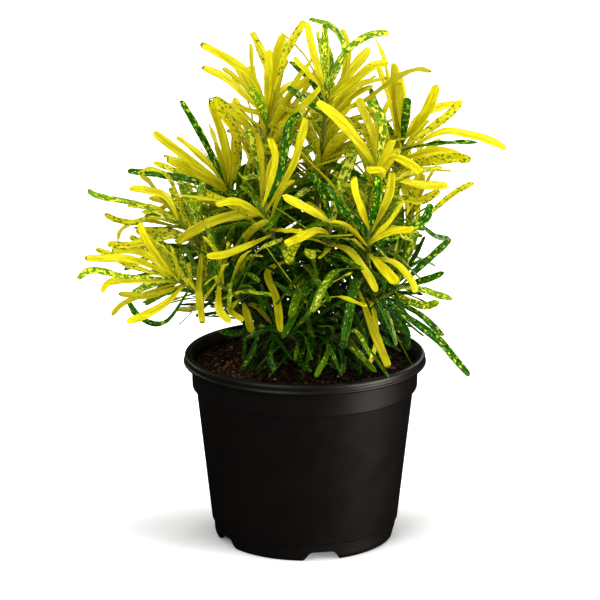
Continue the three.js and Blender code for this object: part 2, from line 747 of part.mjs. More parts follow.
const stems = Object.entries(STEMS).map(([name, plan], owner) => {
  const fork = sighted(plan.fork);
  const collar = V(...plan.hole, SOIL.crown + 3);
  const middle = V(mix(collar.x, fork.x, 0.35), mix(collar.y, fork.y, 0.35), mix(collar.z, fork.z, 0.5));
  const trunk = [collar, middle, fork];
  const shoots = plan.shoots.map((row, k) => ({
    ...row,
    line: [fork, ...row.path.map(sighted)],
    draw: stream(100 * owner + 10 * k + 7),
    grown: [],
  }));
  return { name, owner, plan, trunk, shoots };
});

// Room is kept round every trunk and shoot first. Then the listed leaves grow, and the ones set
// by rule last, one on each shoot in turn.
for (const { owner, trunk, shoots } of stems) {
  for (const line of [trunk, ...shoots.map((shoot) => shoot.line)]) {
    for (let share = 0; share <= 1; share += 0.01) {
      take(through(line, share), TRUNK.clear, own(owner));
    }
  }
}

for (const { owner, shoots } of stems) {
  for (const shoot of shoots) {
    for (const row of shoot.leaves) {
      for (const change of LEANS) {
        const leaf = sightedLeaf(shoot, row, change);
        if (grow(leaf, shoot, owner)) break;
      }
    }
  }
}

// The squares of the view from the front that the listed leaves take up, with the depth of the
// foremost one in each. A leaf set by rule doesn't stand before them.
const showing = new Map();
function squareOf(point) {
  const [across, up] = sightOf(point);
  return (Math.floor(across / CUBE) + 512) * 1024 + Math.floor(up / CUBE);
}
for (const leaf of stems.flatMap(({ shoots }) => shoots.flatMap(({ grown }) => grown))) {
  for (const { at } of samples(leaf)) {
    const square = squareOf(at);
    showing.set(square, Math.min(at.y, showing.get(square) ?? Infinity));
  }
}

function hidesListed(leaf) {
  const points = samples(leaf);
  const hiding = points.filter(({ at }) => at.y < (showing.get(squareOf(at)) ?? -Infinity));
  return hiding.length / points.length > HIDING;
}

const mostFill = Math.max(...stems.flatMap(({ shoots }) => shoots.map((shoot) => shoot.fill)));
for (let count = 0; count < mostFill; count += 1) {
  for (const { owner, shoots } of stems) {
    for (const shoot of shoots) {
      if (count >= shoot.fill) continue;
      for (let attempt = 0; attempt < REDRAWS; attempt += 1) {
        const leaf = setLeaf(shoot, count, GOLDEN_TURN * (count + attempt));
        const inside = insideCrown(leaf.line.at(-1)) && insideCrown(through(leaf.line, 0.75));
        if (inside && !hidesListed(leaf) && grow(leaf, shoot, owner)) break;
      }
    }
  }
}

// ---------------------------------------------------------------- leaves and stems as solids

function bladeGeometry(leaf) {
  return sweep(BLADE_OUTLINE.map(([share, full]) => {
    const { point, face, across } = section(leaf, share);
    const half = (leaf.width / 2) * full;
    const corners = [[-half, BLADE.above], [half, BLADE.above], [0, BLADE.above - BLADE.keel]];
    return corners.map(([wide, high]) =>
      point.clone().addScaledVector(across, wide).addScaledVector(face, high));
  }));
}

// A round stem along a line, with its radius going evenly from first to last.
function stalkGeometry(line, steps, corners, first, last, foot) {
  const rings = [];
  let level = V(1, 0, 0);
  const addRing = (point, along, radius) => {
    level = level.clone().addScaledVector(along, -level.dot(along)).normalize();
    const side = along.clone().cross(level);
    rings.push(Array.from({ length: corners }, (_, k) => {
      const turn = (k * 2 * Math.PI) / corners;
      return point.clone().addScaledVector(level, radius * Math.cos(turn))
        .addScaledVector(side, radius * Math.sin(turn));
    }));
  };
  if (foot) addRing(foot, UP, first);
  for (let k = 0; k <= steps; k += 1) {
    const share = k / steps;
    addRing(through(line, share), foot && k === 0 ? UP : heading(line, share), mix(first, last, share));
  }
  return sweep(rings);
}

// A leafy stem: its trunk from the foot in the soil to the fork, its shoots and their leaves.
function stemGeometry({ plan, trunk, shoots }) {
  const foot = V(...plan.hole, TRUNK.foot);
  const pieces = [stalkGeometry(trunk, 4, 6, TRUNK.radius, TRUNK.topRadius, foot)];
  for (const shoot of shoots) {
    pieces.push(stalkGeometry(shoot.line, 5, 5, TRUNK.shootRadius, TRUNK.tipRadius));
    pieces.push(...shoot.grown.map(bladeGeometry));
  }
  return toGeometry(wasm.Manifold.union(pieces.map(toSolid)));
}

// The soil lies round each trunk, and the hole in it goes on through its mounded surface.
const stemHoles = stems.map(({ plan }) => {
  const depth = SOIL.crown + 6 - (TRUNK.foot - GAP);
  return toSolid(new THREE.CylinderGeometry(TRUNK.radius + GAP * 2, TRUNK.radius + GAP * 2, depth, 8)
    .rotateX(Math.PI / 2)
    .translate(plan.hole[0], plan.hole[1], TRUNK.foot - GAP + depth / 2));
});

// ---------------------------------------------------------------- the plant in its pot

const finish = (color, roughness) => new THREE.MeshStandardMaterial({ color, roughness, metalness: 0 });
const FINISHES = {
  pot: finish(0x16130e, 0.5),
  soil: finish(0x2e2017, 0.95),
  gold: finish(0xd9cb1c, 0.45),
  green: finish(0x1e5a1a, 0.45),
};

const croton = new THREE.Group();
function add(name, geometry, material) {
  const mesh = new THREE.Mesh(geometry, material);
  mesh.name = name;
  croton.add(mesh);
}

add('pot', potGeometry(), FINISHES.pot);
add('soil', soilGeometry(stemHoles), FINISHES.soil);
for (const stem of stems) {
  add(stem.name, stemGeometry(stem), stem.name === 'stem_low' ? FINISHES.green : FINISHES.gold);
}

export default croton;
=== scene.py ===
# %% [markdown]
# # A gold-dusted croton in its nursery pot
# This lesson dresses a small house plant: a narrow-leaved croton with gold and dark green strap
# leaves, growing in dark bark soil in a plain black plastic pot. The solids that carry the part
# are loaded first. Finer pieces then take their places, and loose bits are strewn on the soil.

# %% Load the fixed frame
import math
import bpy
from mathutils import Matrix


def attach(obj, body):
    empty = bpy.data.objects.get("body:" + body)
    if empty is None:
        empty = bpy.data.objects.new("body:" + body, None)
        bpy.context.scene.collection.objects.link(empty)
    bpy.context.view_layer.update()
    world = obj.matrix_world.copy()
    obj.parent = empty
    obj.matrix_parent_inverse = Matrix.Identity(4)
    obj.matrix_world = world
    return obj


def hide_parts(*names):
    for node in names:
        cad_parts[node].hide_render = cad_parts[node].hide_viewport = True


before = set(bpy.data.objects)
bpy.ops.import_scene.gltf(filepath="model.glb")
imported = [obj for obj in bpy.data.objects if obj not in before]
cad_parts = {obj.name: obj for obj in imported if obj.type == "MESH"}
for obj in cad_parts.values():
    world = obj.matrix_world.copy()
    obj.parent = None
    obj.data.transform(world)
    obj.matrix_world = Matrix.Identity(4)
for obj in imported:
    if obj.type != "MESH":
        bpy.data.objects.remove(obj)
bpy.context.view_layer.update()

from types import SimpleNamespace

import bmesh
import bpy
import numpy as np
from mathutils import Vector, noise

print("nodes in the frame:", sorted(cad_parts))

# %% [markdown]
# ## Sizes
# All of the plant is worked out in millimetres, as it would be measured with a ruler, and only
# turned into Blender's metres when a mesh is made. The pot's numbers are those of a 17 cm
# nursery pot. The origin is on the pot's axis, on the surface that it stands on, and the plant is
# looked at from -Y.

# %% Sizes in millimetres
MM = 0.001
POT_HEIGHT = 133.4
RIM_RADIUS = 85.2
RIM_DEPTH = 7.2
LIP_RADIUS = 80.5
SHOULDER_RADIUS = 79.6
SHOULDER_FOOT_RADIUS = 79.1
LEDGE = 109.2
BODY_TOP_RADIUS = 76.5
BODY_BOTTOM_RADIUS = 66.1
FOOT_BAND_TOP = 12.9
FOOT_BAND_RADIUS = 64.8
FOOT_RADIUS = 61.9
FOOT_WIDTH = 2.1
FLOOR_BOTTOM = 7.2
WALL = 1.5
INNER_LEDGE = LEDGE + WALL
GAP = 0.3  # between the soil and the wall
SOIL_EDGE = 124.5
SOIL_CROWN = 127.5
SOIL_RELIEF = 1.1
print("height of the pot to the width of its rim:", round(POT_HEIGHT / (2 * RIM_RADIUS), 2))

# %% [markdown]
# Three small sums are needed again and again: a value between two others, a value held between
# 0 and 1, and how wide the pot is inside at some height.

# %% Helpers for measures
def mix(a, b, share):
    """The value a share of the way from a to b."""
    return a + (b - a) * share


def clamp(value):
    """The value, held between 0 and 1."""
    return min(1.0, max(0.0, value))


def inner_wall(z):
    """Radius of the pot's inner wall at a height."""
    if z >= INNER_LEDGE:
        return SHOULDER_FOOT_RADIUS - WALL
    slope = (BODY_TOP_RADIUS - BODY_BOTTOM_RADIUS) / (LEDGE - FOOT_BAND_TOP)
    return BODY_BOTTOM_RADIUS - WALL + slope * (z - FOOT_BAND_TOP)


print("pot inside at the soil:", round(inner_wall(SOIL_EDGE), 1), "mm radius")

# %% [markdown]
# ## From points to a piece
# A mesh can be typed in as lists of points and faces, which is slow to write but exact. One helper
# turns points in millimetres into a piece, and one writes a value onto each point, which a
# material can read later.

# %% Helpers for pieces
def make_piece(name, points, faces, finish):
    """A smooth mesh from points in millimetres, that rides with the pot."""
    mesh = bpy.data.meshes.new(name)
    mesh.from_pydata((np.asarray(points, float) * MM).tolist(), [], faces)
    mesh.materials.append(finish)
    mesh.shade_smooth()
    piece = bpy.data.objects.new(name, mesh)
    bpy.context.collection.objects.link(piece)
    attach(piece, "root")
    return piece


def note(piece, name, values):
    """Writes one number, or three, onto every point for the materials to read."""
    values = np.asarray(values, np.float32)
    kind, slot = ("FLOAT", "value") if values.ndim == 1 else ("FLOAT_VECTOR", "vector")
    layer = piece.data.attributes.new(name, kind, "POINT")
    layer.data.foreach_set(slot, values.ravel())


# %% [markdown]
# A round thing is its outline spun about an axis, as on a potter's wheel. Its corners are first
# listed as sharp and then rounded, because no moulded edge is truly sharp.

# %% Helpers for turned shapes
def on_ring(radius, turn, turns, z):
    """A point on a ring of evenly turned points that starts at the front."""
    angle = 2 * math.pi * turn / turns
    return (radius * math.sin(angle), -radius * math.cos(angle), z)


def spin(outline, turns):
    """Points and faces of an outline of (radius, height) spun about the axis and closed on itself."""
    points = [on_ring(r, k, turns, z) for k in range(turns) for r, z in outline]
    count = len(outline)
    faces = []
    for k in range(turns):
        a, b = k * count, (k + 1) % turns * count
        for i in range(count):
            j = (i + 1) % count
            faces.append((a + i, b + i, b + j, a + j))
    return points, faces


def rounded(corners, steps=4):
    """Swaps each corner (radius, height, rounding) of an outline for a short arc."""
    outline = []
    for k, (x, z, rounding) in enumerate(corners):
        before, after = corners[k - 1], corners[(k + 1) % len(corners)]
        here = Vector((x, z))
        back, on = Vector(before[:2]) - here, Vector(after[:2]) - here
        reach = min(rounding, back.length * 0.48, on.length * 0.48)
        if reach < 0.02:
            outline.append((x, z))
            continue
        start, end = here + back.normalized() * reach, here + on.normalized() * reach
        for step in range(steps + 1):
            s = step / steps
            point = start * (1 - s) ** 2 + here * 2 * s * (1 - s) + end * s**2
            outline.append((point.x, point.y))
    return outline


# %% [markdown]
# ## Finishes
# A finish is a small network of nodes. Typing each node takes many lines, so these helpers keep
# the network and let a node be added and wired in one call. Colours are picked as they are seen,
# from 0 to 255, and turned into the light values that Blender works with.

# %% A colour as it is seen
def linear(value):
    """One seen value, 0 to 255, as linear light."""
    value /= 255
    return value / 12.92 if value <= 0.04045 else ((value + 0.055) / 1.055) ** 2.4


def colour(red, green, blue):
    """A seen colour, 0 to 255, as Blender's linear light."""
    return (linear(red), linear(green), linear(blue), 1.0)


print("a middle grey as light:", round(colour(128, 128, 128)[0], 3))

# %% A network of nodes
class Network:
    """A material, with calls to add a node and to wire it."""

    def __init__(self, name):
        self.material = bpy.data.materials.new(name)
        self.material.use_nodes = True
        self.tree = self.material.node_tree
        self.shader = self.tree.nodes["Principled BSDF"]

    def wire(self, value, socket):
        """Links another node's output to the socket, or sets a constant on it."""
        if isinstance(value, bpy.types.NodeSocket):
            self.tree.links.new(value, socket)
        else:
            socket.default_value = value

    def add(self, kind, values, **settings):
        """A node with its inputs wired."""
        node = self.tree.nodes.new("ShaderNode" + kind)
        for key, value in settings.items():
            setattr(node, key, value)
        for key, value in values.items():
            self.wire(value, node.inputs[key])
        return node

    def wear(self, **sockets):
        """Wires the shader's own sockets, with _ for a space."""
        for key, value in sockets.items():
            self.wire(value, self.shader.inputs[key.replace("_", " ")])
        return self.material


# %% [markdown]
# A pattern starts with a place: the point's own place on its object, or one that was noted on the
# mesh. The place then picks a value from clouds or from scattered dots of noise.

# %% Patterns
class Patterns(Network):
    """A network with one short call for each kind of pattern."""

    def place(self):
        """The point's place on its object, in metres."""
        return self.add("TexCoord", {}).outputs["Object"]

    def read(self, name, output="Fac"):
        """A value that was noted on the mesh's points."""
        return self.add("Attribute", {}, attribute_name=name).outputs[output]

    def parts(self, vector):
        """The three parts of a vector."""
        return self.add("SeparateXYZ", {0: vector}).outputs

    def stretched(self, place, scale):
        """The place with each of its directions scaled."""
        return self.add("Mapping", {"Vector": place, "Scale": scale}).outputs[0]

    def noise(self, place, scale, detail=3.0, roughness=0.5, output="Fac"):
        """Soft clouds from 0 to 1."""
        values = {"Vector": place, "Scale": scale, "Detail": detail, "Roughness": roughness}
        return self.add("TexNoise", values).outputs[output]

    def dots(self, place, scale):
        """A size from 0 to 1 for each of many scattered dots, and the distance to the nearest."""
        found = self.add("TexVoronoi", {"Vector": place, "Scale": scale})
        return self.add("SeparateColor", {0: found.outputs["Color"]}).outputs[0], found.outputs["Distance"]


# %% [markdown]
# The patterns are then eased between two limits, added up, used to lay one colour over another,
# and raised as fine relief.

# %% A finish, in short calls
class Finish(Patterns):
    """Patterns with the calls that turn them into colour and relief."""

    def step(self, value, low, high, to_low=0.0, to_high=1.0):
        """Eases value from low to high into to_low to to_high."""
        values = {"Value": value, "From Min": low, "From Max": high, "To Min": to_low, "To Max": to_high}
        return self.add("MapRange", values, interpolation_type="SMOOTHSTEP").outputs["Result"]

    def maths(self, how, a, b=0.0):
        """One sum of two values."""
        return self.add("Math", {0: a, 1: b}, operation=how).outputs[0]

    def times(self, a, b):
        """Their product."""
        return self.maths("MULTIPLY", a, b)

    def plus(self, a, b):
        """Their sum."""
        return self.maths("ADD", a, b)

    def minus(self, a, b):
        """The first less the second."""
        return self.maths("SUBTRACT", a, b)

    def blend(self, share, a, b, how="MIX"):
        """One colour over another."""
        values = {0: share, 6: a, 7: b}  # the mix node's colour sockets
        return self.add("Mix", values, data_type="RGBA", blend_type=how).outputs[2]

    def bump(self, height, distance, strength=1.0, under=None):
        """Fine relief that only the light sees, distance in metres."""
        values = {"Height": height, "Distance": distance, "Strength": strength}
        if under:
            values["Normal"] = under
        return self.add("Bump", values).outputs["Normal"]


# %% [markdown]
# ## The pot
# A nursery pot is one thin moulding of black polypropylene: a rolled rim, a straight band under
# it that stops stacked pots from jamming, a tapered wall, and a foot ring with gaps for water.
# It could be carved with modifiers, but a moulding is a turned shape, so its outline is spun
# round the axis with soft corners, and the gaps and drain holes are then cut out.

# %% The pot's outline
RIM_BOTTOM = POT_HEIGHT - RIM_DEPTH
FLOOR_TOP = FLOOR_BOTTOM + WALL
POT_TURNS = 192

pot_corners = [
    (0.01, FLOOR_BOTTOM, 0),
    (FOOT_RADIUS - FOOT_WIDTH + 0.6, FLOOR_BOTTOM, 1.0),
    (FOOT_RADIUS - FOOT_WIDTH, 0.0, 0.4),
    (FOOT_RADIUS, 0.0, 0.8),
    (FOOT_RADIUS + 1.5, 1.0, 1.2),
    (FOOT_BAND_RADIUS - 0.7, 3.0, 2.0),
    (FOOT_BAND_RADIUS, FOOT_BAND_TOP - 0.5, 0.3),
    (BODY_BOTTOM_RADIUS, FOOT_BAND_TOP, 0.4),
    (BODY_TOP_RADIUS, LEDGE, 0.3),
    (SHOULDER_FOOT_RADIUS - 0.4, LEDGE, 0.3),
    (SHOULDER_FOOT_RADIUS, LEDGE + 0.5, 0.4),
    (SHOULDER_RADIUS, RIM_BOTTOM, 0.5),
    (RIM_RADIUS - 0.7, RIM_BOTTOM, 0.5),
    (RIM_RADIUS, RIM_BOTTOM + 0.9, 0.5),
    (RIM_RADIUS - 0.1, RIM_BOTTOM + 1.7, 0.5),
    (RIM_RADIUS - 0.9, RIM_BOTTOM + 2.6, 0.8),
    (RIM_RADIUS - 0.7, POT_HEIGHT - 1.8, 1.2),
    (RIM_RADIUS - 2.0, POT_HEIGHT, 1.4),
    (LIP_RADIUS, POT_HEIGHT, 0.9),
    (LIP_RADIUS - 1.2, POT_HEIGHT - 1.4, 0.8),
    (SHOULDER_RADIUS - WALL, POT_HEIGHT - 5.0, 1.6),
    (inner_wall(INNER_LEDGE), INNER_LEDGE + 0.4, 0.8),
    (inner_wall(LEDGE), INNER_LEDGE, 0.8),
    (inner_wall(FLOOR_TOP + 1.2), FLOOR_TOP + 1.2, 0.6),
    (inner_wall(FLOOR_TOP) - 1.2, FLOOR_TOP, 0.6),
    (0.01, FLOOR_TOP, 0),
]
pot_outline = rounded(pot_corners)
print("points in the pot's outline:", len(pot_outline))

# %% [markdown]
# The plastic is black with a little warmth, and its mould was sand blasted, so it is satin
# with a grain finer than a millimetre. Where it has been handled it is a touch shinier.

# %% The pot's plastic
def black_plastic():
    """Satin black plastic with a fine grain and a trace of dust."""
    finish = Finish("black_plastic")
    place = finish.place()
    grain = finish.noise(place, 1500.0, 2.0)
    cloud = finish.noise(place, 28.0, 4.0, 0.6)
    dust = finish.step(finish.noise(place, 420.0, 5.0, 0.7), 0.6, 0.78)
    base = finish.blend(finish.step(cloud, 0.35, 0.7), colour(17, 13, 10), colour(19, 15, 11))
    speckled = finish.blend(finish.times(dust, 0.12), base, colour(60, 54, 46))
    relief = finish.bump(grain, 0.00025, 0.55)
    relief = finish.bump(cloud, 0.0003, 0.15, relief)
    rough = finish.step(finish.noise(place, 60.0, 4.0), 0.3, 0.75, 0.43, 0.49)
    return finish.wear(Base_Color=speckled, Roughness=rough, Normal=relief, Specular_IOR_Level=0.7)


points, faces = spin(pot_outline, POT_TURNS)
pot = make_piece("nursery_pot", points, faces, black_plastic())
print("faces of the spun pot:", len(faces))

# %% [markdown]
# Holes could be left open while the mesh is made, but that is fiddly in a spun shape. Blocks that
# are cut out with Boolean modifiers give clean edges, and the modifiers are then turned into
# plain mesh, so that nothing is left to work out later.

# %% Helpers that cut
def cutter(name, ring, depth, push):
    """A block with the outline ring, from push along -Y to push + depth."""
    count = len(ring)
    points = [(x * MM, (-push - along) * MM, z * MM) for along in (0.0, depth) for x, z in ring]
    faces = [(i, (i + 1) % count, (i + 1) % count + count, i + count) for i in range(count)]
    faces += [tuple(range(count - 1, -1, -1)), tuple(range(count, 2 * count))]
    mesh = bpy.data.meshes.new(name)
    mesh.from_pydata(points, [], faces)
    block = bpy.data.objects.new(name, mesh)
    bpy.context.collection.objects.link(block)
    return block


def cut(piece, blocks):
    """Cuts the blocks out of the piece for good."""
    for block in blocks:
        cutting = piece.modifiers.new("cut", "BOOLEAN")
        cutting.operation, cutting.solver, cutting.object = "DIFFERENCE", "EXACT", block
    bpy.context.view_layer.update()
    done = bpy.data.meshes.new_from_object(piece.evaluated_get(bpy.context.evaluated_depsgraph_get()))
    piece.modifiers.clear()
    piece.data = done
    for block in blocks:
        bpy.data.objects.remove(block)


# %% [markdown]
# Five gaps in the foot ring let water run away from under the pot. They are wider at the bottom,
# as in a mould that has to let go of the pot.

# %% Cut the gaps in the foot
NOTCH_HALF, NOTCH_TOP_HALF, NOTCH_HEIGHT = 13.0, 7.7, 6.8
NOTCH_TURNS = (10.9, 82.9, 154.9, -133.1, -61.1)
NOTCH_CORNER, NOTCH_ROUNDING = 1.6, 2.4

flare = (NOTCH_HALF - NOTCH_TOP_HALF) / NOTCH_HEIGHT
low_half, high_half = NOTCH_HALF + 2 * flare, NOTCH_TOP_HALF + NOTCH_CORNER * 0.4
side = rounded([
    (-low_half, -2.0, 0), (low_half, -2.0, 0),
    (high_half, NOTCH_HEIGHT, NOTCH_ROUNDING), (-high_half, NOTCH_HEIGHT, NOTCH_ROUNDING),
])
gaps = []
for turn in NOTCH_TURNS:
    gap = cutter(f"gap_{turn}", side, 20.0, FOOT_RADIUS - 10.0)
    gap.rotation_euler.z = math.radians(turn)
    gaps.append(gap)
cut(pot, gaps)
print("faces with the gaps:", len(pot.data.polygons))

# %% [markdown]
# A nursery pot drains through a ring of round holes in its raised floor. They don't show in this
# view, but the pot would be wrong without them.

# %% Drill the drain holes
DRAIN_COUNT, DRAIN_RADIUS, DRAIN_RING = 8, 4.5, 47.0

round_hole = [2 * math.pi * k / 24 for k in range(24)]
round_hole = [(DRAIN_RADIUS * math.cos(a), DRAIN_RADIUS * math.sin(a)) for a in round_hole]
holes = []
for k in range(DRAIN_COUNT):
    hole = cutter(f"drain_{k}", round_hole, 8.0, -4.0)
    hole.rotation_euler.x = math.radians(90)
    angle = 2 * math.pi * k / DRAIN_COUNT
    ring = DRAIN_RING * MM
    hole.location = (ring * math.cos(angle), ring * math.sin(angle), FLOOR_TOP * MM)
    holes.append(hole)
cut(pot, holes)
pot.data.shade_smooth()
pot.data.set_sharp_from_angle(angle=math.radians(38))
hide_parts("pot")
print("pot faces:", len(pot.data.polygons))

# %% [markdown]
# ## The soil
# Potting soil for such plants is peat with shredded bark: nearly black, crumbly, with reddish
# chips, pale fibres and a few mineral grains. A noise texture alone looks like felt from nearby,
# so the surface is a real height field with crumbs, and loose bits are strewn over it as meshes.

# %% The soil's surface
SOIL_RINGS, SOIL_TURNS = 96, 340


def soil_height(x, y):
    """Height of the soil, mounded to the middle with low uneven lumps."""
    share = np.minimum(1, np.hypot(x, y) / inner_wall(SOIL_EDGE))
    lumps = np.sin(x * 0.13 + 1) * np.cos(y * 0.11) + 0.6 * np.sin(x * 0.05 - y * 0.21 + 2)
    return mix(SOIL_CROWN, SOIL_EDGE, share * share) + SOIL_RELIEF * lumps * (1 - share**6) * 0.6


def crumbs(x, y):
    """Extra height of the loose crumbs on the surface, in millimetres."""
    coarse = noise.fractal((x * 0.16, y * 0.16, 3.0), 0.9, 2.2, 4)
    fine = noise.fractal((x * 0.55, y * 0.55, 9.0), 0.8, 2.1, 3)
    return 1.1 * coarse + 0.55 * fine


def surface(x, y):
    """Height of the soil with its crumbs."""
    return float(soil_height(x, y)) + crumbs(x, y)


reach = inner_wall(SOIL_EDGE) - GAP
soil_points = []
for k in range(1, SOIL_RINGS + 1):
    share = k / SOIL_RINGS
    for turn in range(SOIL_TURNS):
        x, y, _ = on_ring(reach * k / SOIL_RINGS, turn, SOIL_TURNS, 0)
        soil_points.append((x, y, float(soil_height(x, y)) + crumbs(x, y) * (1 - share**12)))
print("points on the soil's surface:", len(soil_points))

# %% [markdown]
# Below its surface the soil fills the pot, so the same mesh goes on down the wall and closes
# on the floor. Nobody sees that part, and it costs only four more rings.

# %% Close the soil
SOIL_BOTTOM = FLOOR_TOP + GAP
walls = [
    (inner_wall(INNER_LEDGE) - GAP, INNER_LEDGE + 0.8),
    (inner_wall(LEDGE) - GAP, INNER_LEDGE),
    (inner_wall(SOIL_BOTTOM + 1.2) - GAP, SOIL_BOTTOM + 1.2),
    (inner_wall(SOIL_BOTTOM) - GAP - 1.4, SOIL_BOTTOM),
]
soil_points += [on_ring(radius, turn, SOIL_TURNS, z) for radius, z in walls for turn in range(SOIL_TURNS)]
soil_faces = []
for k in range(SOIL_RINGS + len(walls) - 1):
    for turn in range(SOIL_TURNS):
        a, b = k * SOIL_TURNS + turn, k * SOIL_TURNS + (turn + 1) % SOIL_TURNS
        soil_faces.append((a, a + SOIL_TURNS, b + SOIL_TURNS, b))
soil_faces.append(tuple(range(SOIL_TURNS)))
soil_faces.append(tuple(range(len(soil_points) - 1, len(soil_points) - SOIL_TURNS - 1, -1)))
print("faces of the soil:", len(soil_faces))

# %% [markdown]
# The soil's colour goes from a wet black-brown to a dry brown in patches laid out by noise, which
# don't follow the hollows and crumbs of its relief. The bits on top share one finish, which reads
# each bit's own shade from its points.

# %% Soil finishes
def damp_peat():
    """Dark damp peat with drier, browner crumbs."""
    finish = Finish("damp_peat")
    place = finish.place()
    clods = finish.noise(place, 240.0, 6.0, 0.7)
    patches = finish.noise(place, 45.0, 3.0)
    dark = finish.blend(finish.step(patches, 0.35, 0.7), colour(17, 11, 7), colour(45, 29, 18))
    crumb = finish.blend(finish.step(clods, 0.48, 0.72), dark, colour(108, 71, 44))
    relief = finish.bump(finish.noise(place, 900.0, 5.0, 0.7), 0.0006, 0.9)
    return finish.wear(Base_Color=crumb, Roughness=0.93, Normal=relief, Specular_IOR_Level=0.2)


def bark_bits():
    """Bark and fibre, in each bit's own tone."""
    finish = Finish("bark_bits")
    grain = finish.noise(finish.place(), 700.0, 4.0, 0.6)
    own = finish.read("shade", "Color")
    worn = finish.blend(finish.step(grain, 0.3, 0.8), own, colour(30, 19, 12), "MULTIPLY")
    toned = finish.blend(finish.step(grain, 0.35, 0.65), worn, own)
    relief = finish.bump(grain, 0.0004, 0.8)
    return finish.wear(Base_Color=toned, Roughness=0.85, Normal=relief, Specular_IOR_Level=0.25)


soil = make_piece("potting_soil", soil_points, soil_faces, damp_peat())
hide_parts("soil")
bits = bark_bits()
print("soil faces:", len(soil.data.polygons))

# %% [markdown]
# Loose bits come next. Each is a small ball of twenty faces with its corners pushed about and
# squashed flat, which reads as a chip of bark. They could be scattered by a particle system, but
# a seeded loop puts every bit in the same place each time and keeps them all in one mesh.

# %% Tones and shape of loose bits
def tones_of(*seen):
    """Seen colours as a list of light values."""
    return [np.array(colour(*tone)[:3]) for tone in seen]


EARTH = tones_of((56, 34, 22), (82, 52, 34), (116, 74, 48), (150, 100, 68), (36, 24, 18), (46, 31, 22))
PALE_GRAINS = tones_of((176, 160, 132), (150, 128, 96), (196, 188, 170))

ball = bmesh.new()
bmesh.ops.create_icosphere(ball, subdivisions=1, radius=1.0)
ball_points = np.array([v.co[:] for v in ball.verts])
ball_faces = [[v.index for v in f.verts] for f in ball.faces]
ball.free()
print("tones of earth:", len(EARTH), "points of a chip:", len(ball_points))

# %% [markdown]
# Every bit needs a random turn and a random place. All bits of one kind are then merged into one
# mesh, because thousands of separate objects would slow the whole file down.

# %% Helpers for loose bits
def turned(rng):
    """A random turn in space as a 3 by 3 table."""
    q = rng.normal(size=4)
    w, x, y, z = q / np.linalg.norm(q)
    return np.array([
        [1 - 2 * (y * y + z * z), 2 * (x * y - z * w), 2 * (x * z + y * w)],
        [2 * (x * y + z * w), 1 - 2 * (x * x + z * z), 2 * (y * z - x * w)],
        [2 * (x * z - y * w), 2 * (y * z + x * w), 1 - 2 * (x * x + y * y)],
    ])


def somewhere(rng, reach):
    """A random place on the soil within reach of the axis."""
    radius = reach * math.sqrt(rng.random())
    angle = rng.random() * 2 * math.pi
    return radius * math.cos(angle), radius * math.sin(angle)


def merge(parts):
    """One list of points and one of faces from several."""
    points, faces, start = [], [], 0
    for part_points, part_faces in parts:
        faces.extend(tuple(i + start for i in face) for face in part_faces)
        points.append(part_points)
        start += len(part_points)
    return np.concatenate(points), faces


def strew(name, parts, tones):
    """Loose bits as one piece, each in its own tone."""
    points, faces = merge(parts)
    piece = make_piece(name, points, faces, bits)
    note(piece, "shade", np.repeat(tones, [len(part[0]) for part in parts], axis=0))
    print(name, len(parts), "faces:", len(faces))
    return piece


# %% Strew bark chips
CHIPS = 2600
CHIP_SIZES = (0.4, 1.3)  # the smallest, and how much the largest has more
EARTHY_SHARE = 0.97

rng = np.random.default_rng(11)
chips, tones = [], []
for k in range(CHIPS):
    x, y = somewhere(rng, reach - 2.2)
    size = CHIP_SIZES[0] + CHIP_SIZES[1] * rng.random() ** 3.0
    chip = ball_points * (1 + 0.35 * (rng.random((len(ball_points), 1)) - 0.5))
    chip = chip * np.array([1.0 + 1.1 * rng.random(), 0.55 + 0.4 * rng.random(), 0.3 + 0.4 * rng.random()])
    chip = (chip * size) @ turned(rng).T
    chips.append((chip + (x, y, surface(x, y) + 0.15 * size), ball_faces))
    earthy = rng.random() < EARTHY_SHARE
    tone = EARTH[rng.integers(len(EARTH))] if earthy else PALE_GRAINS[rng.integers(len(PALE_GRAINS))]
    tones.append(tone * (0.75 + 0.5 * rng.random()))
chips = strew("bark_chips", chips, tones)
chips.data.shade_flat()

# %% [markdown]
# Peat holds short brown and straw-coloured fibres. Each is a thin bent tube of five sides that
# lies along the surface and lifts a little at its ends.

# %% A tube along a line
def tube(line, radii, corners):
    """Points and faces of a round closed tube along points in millimetres."""
    line = np.asarray(line, float)
    along = np.gradient(line, axis=0)
    along /= np.linalg.norm(along, axis=1, keepdims=True)
    level = np.array([1.0, 0.0, 0.0])
    turns = 2 * np.pi * np.arange(corners) / corners
    rings = []
    for here, ahead, radius in zip(line, along, radii):
        level = level - ahead * (level @ ahead)
        level /= np.linalg.norm(level)
        across = np.cross(ahead, level)
        rings.append(here + radius * (np.cos(turns)[:, None] * level + np.sin(turns)[:, None] * across))
    faces = []
    for k in range(len(line) - 1):
        for i in range(corners):
            a, b = k * corners + i, k * corners + (i + 1) % corners
            faces.append((a, b, b + corners, a + corners))
    faces.append(tuple(range(corners - 1, -1, -1)))
    faces.append(tuple((len(line) - 1) * corners + i for i in range(corners)))
    return np.concatenate(rings), faces


# %% Lay fibres
FIBRES = 130
STRAW, BROWN_FIBRE = tones_of((118, 86, 54), (70, 46, 30))

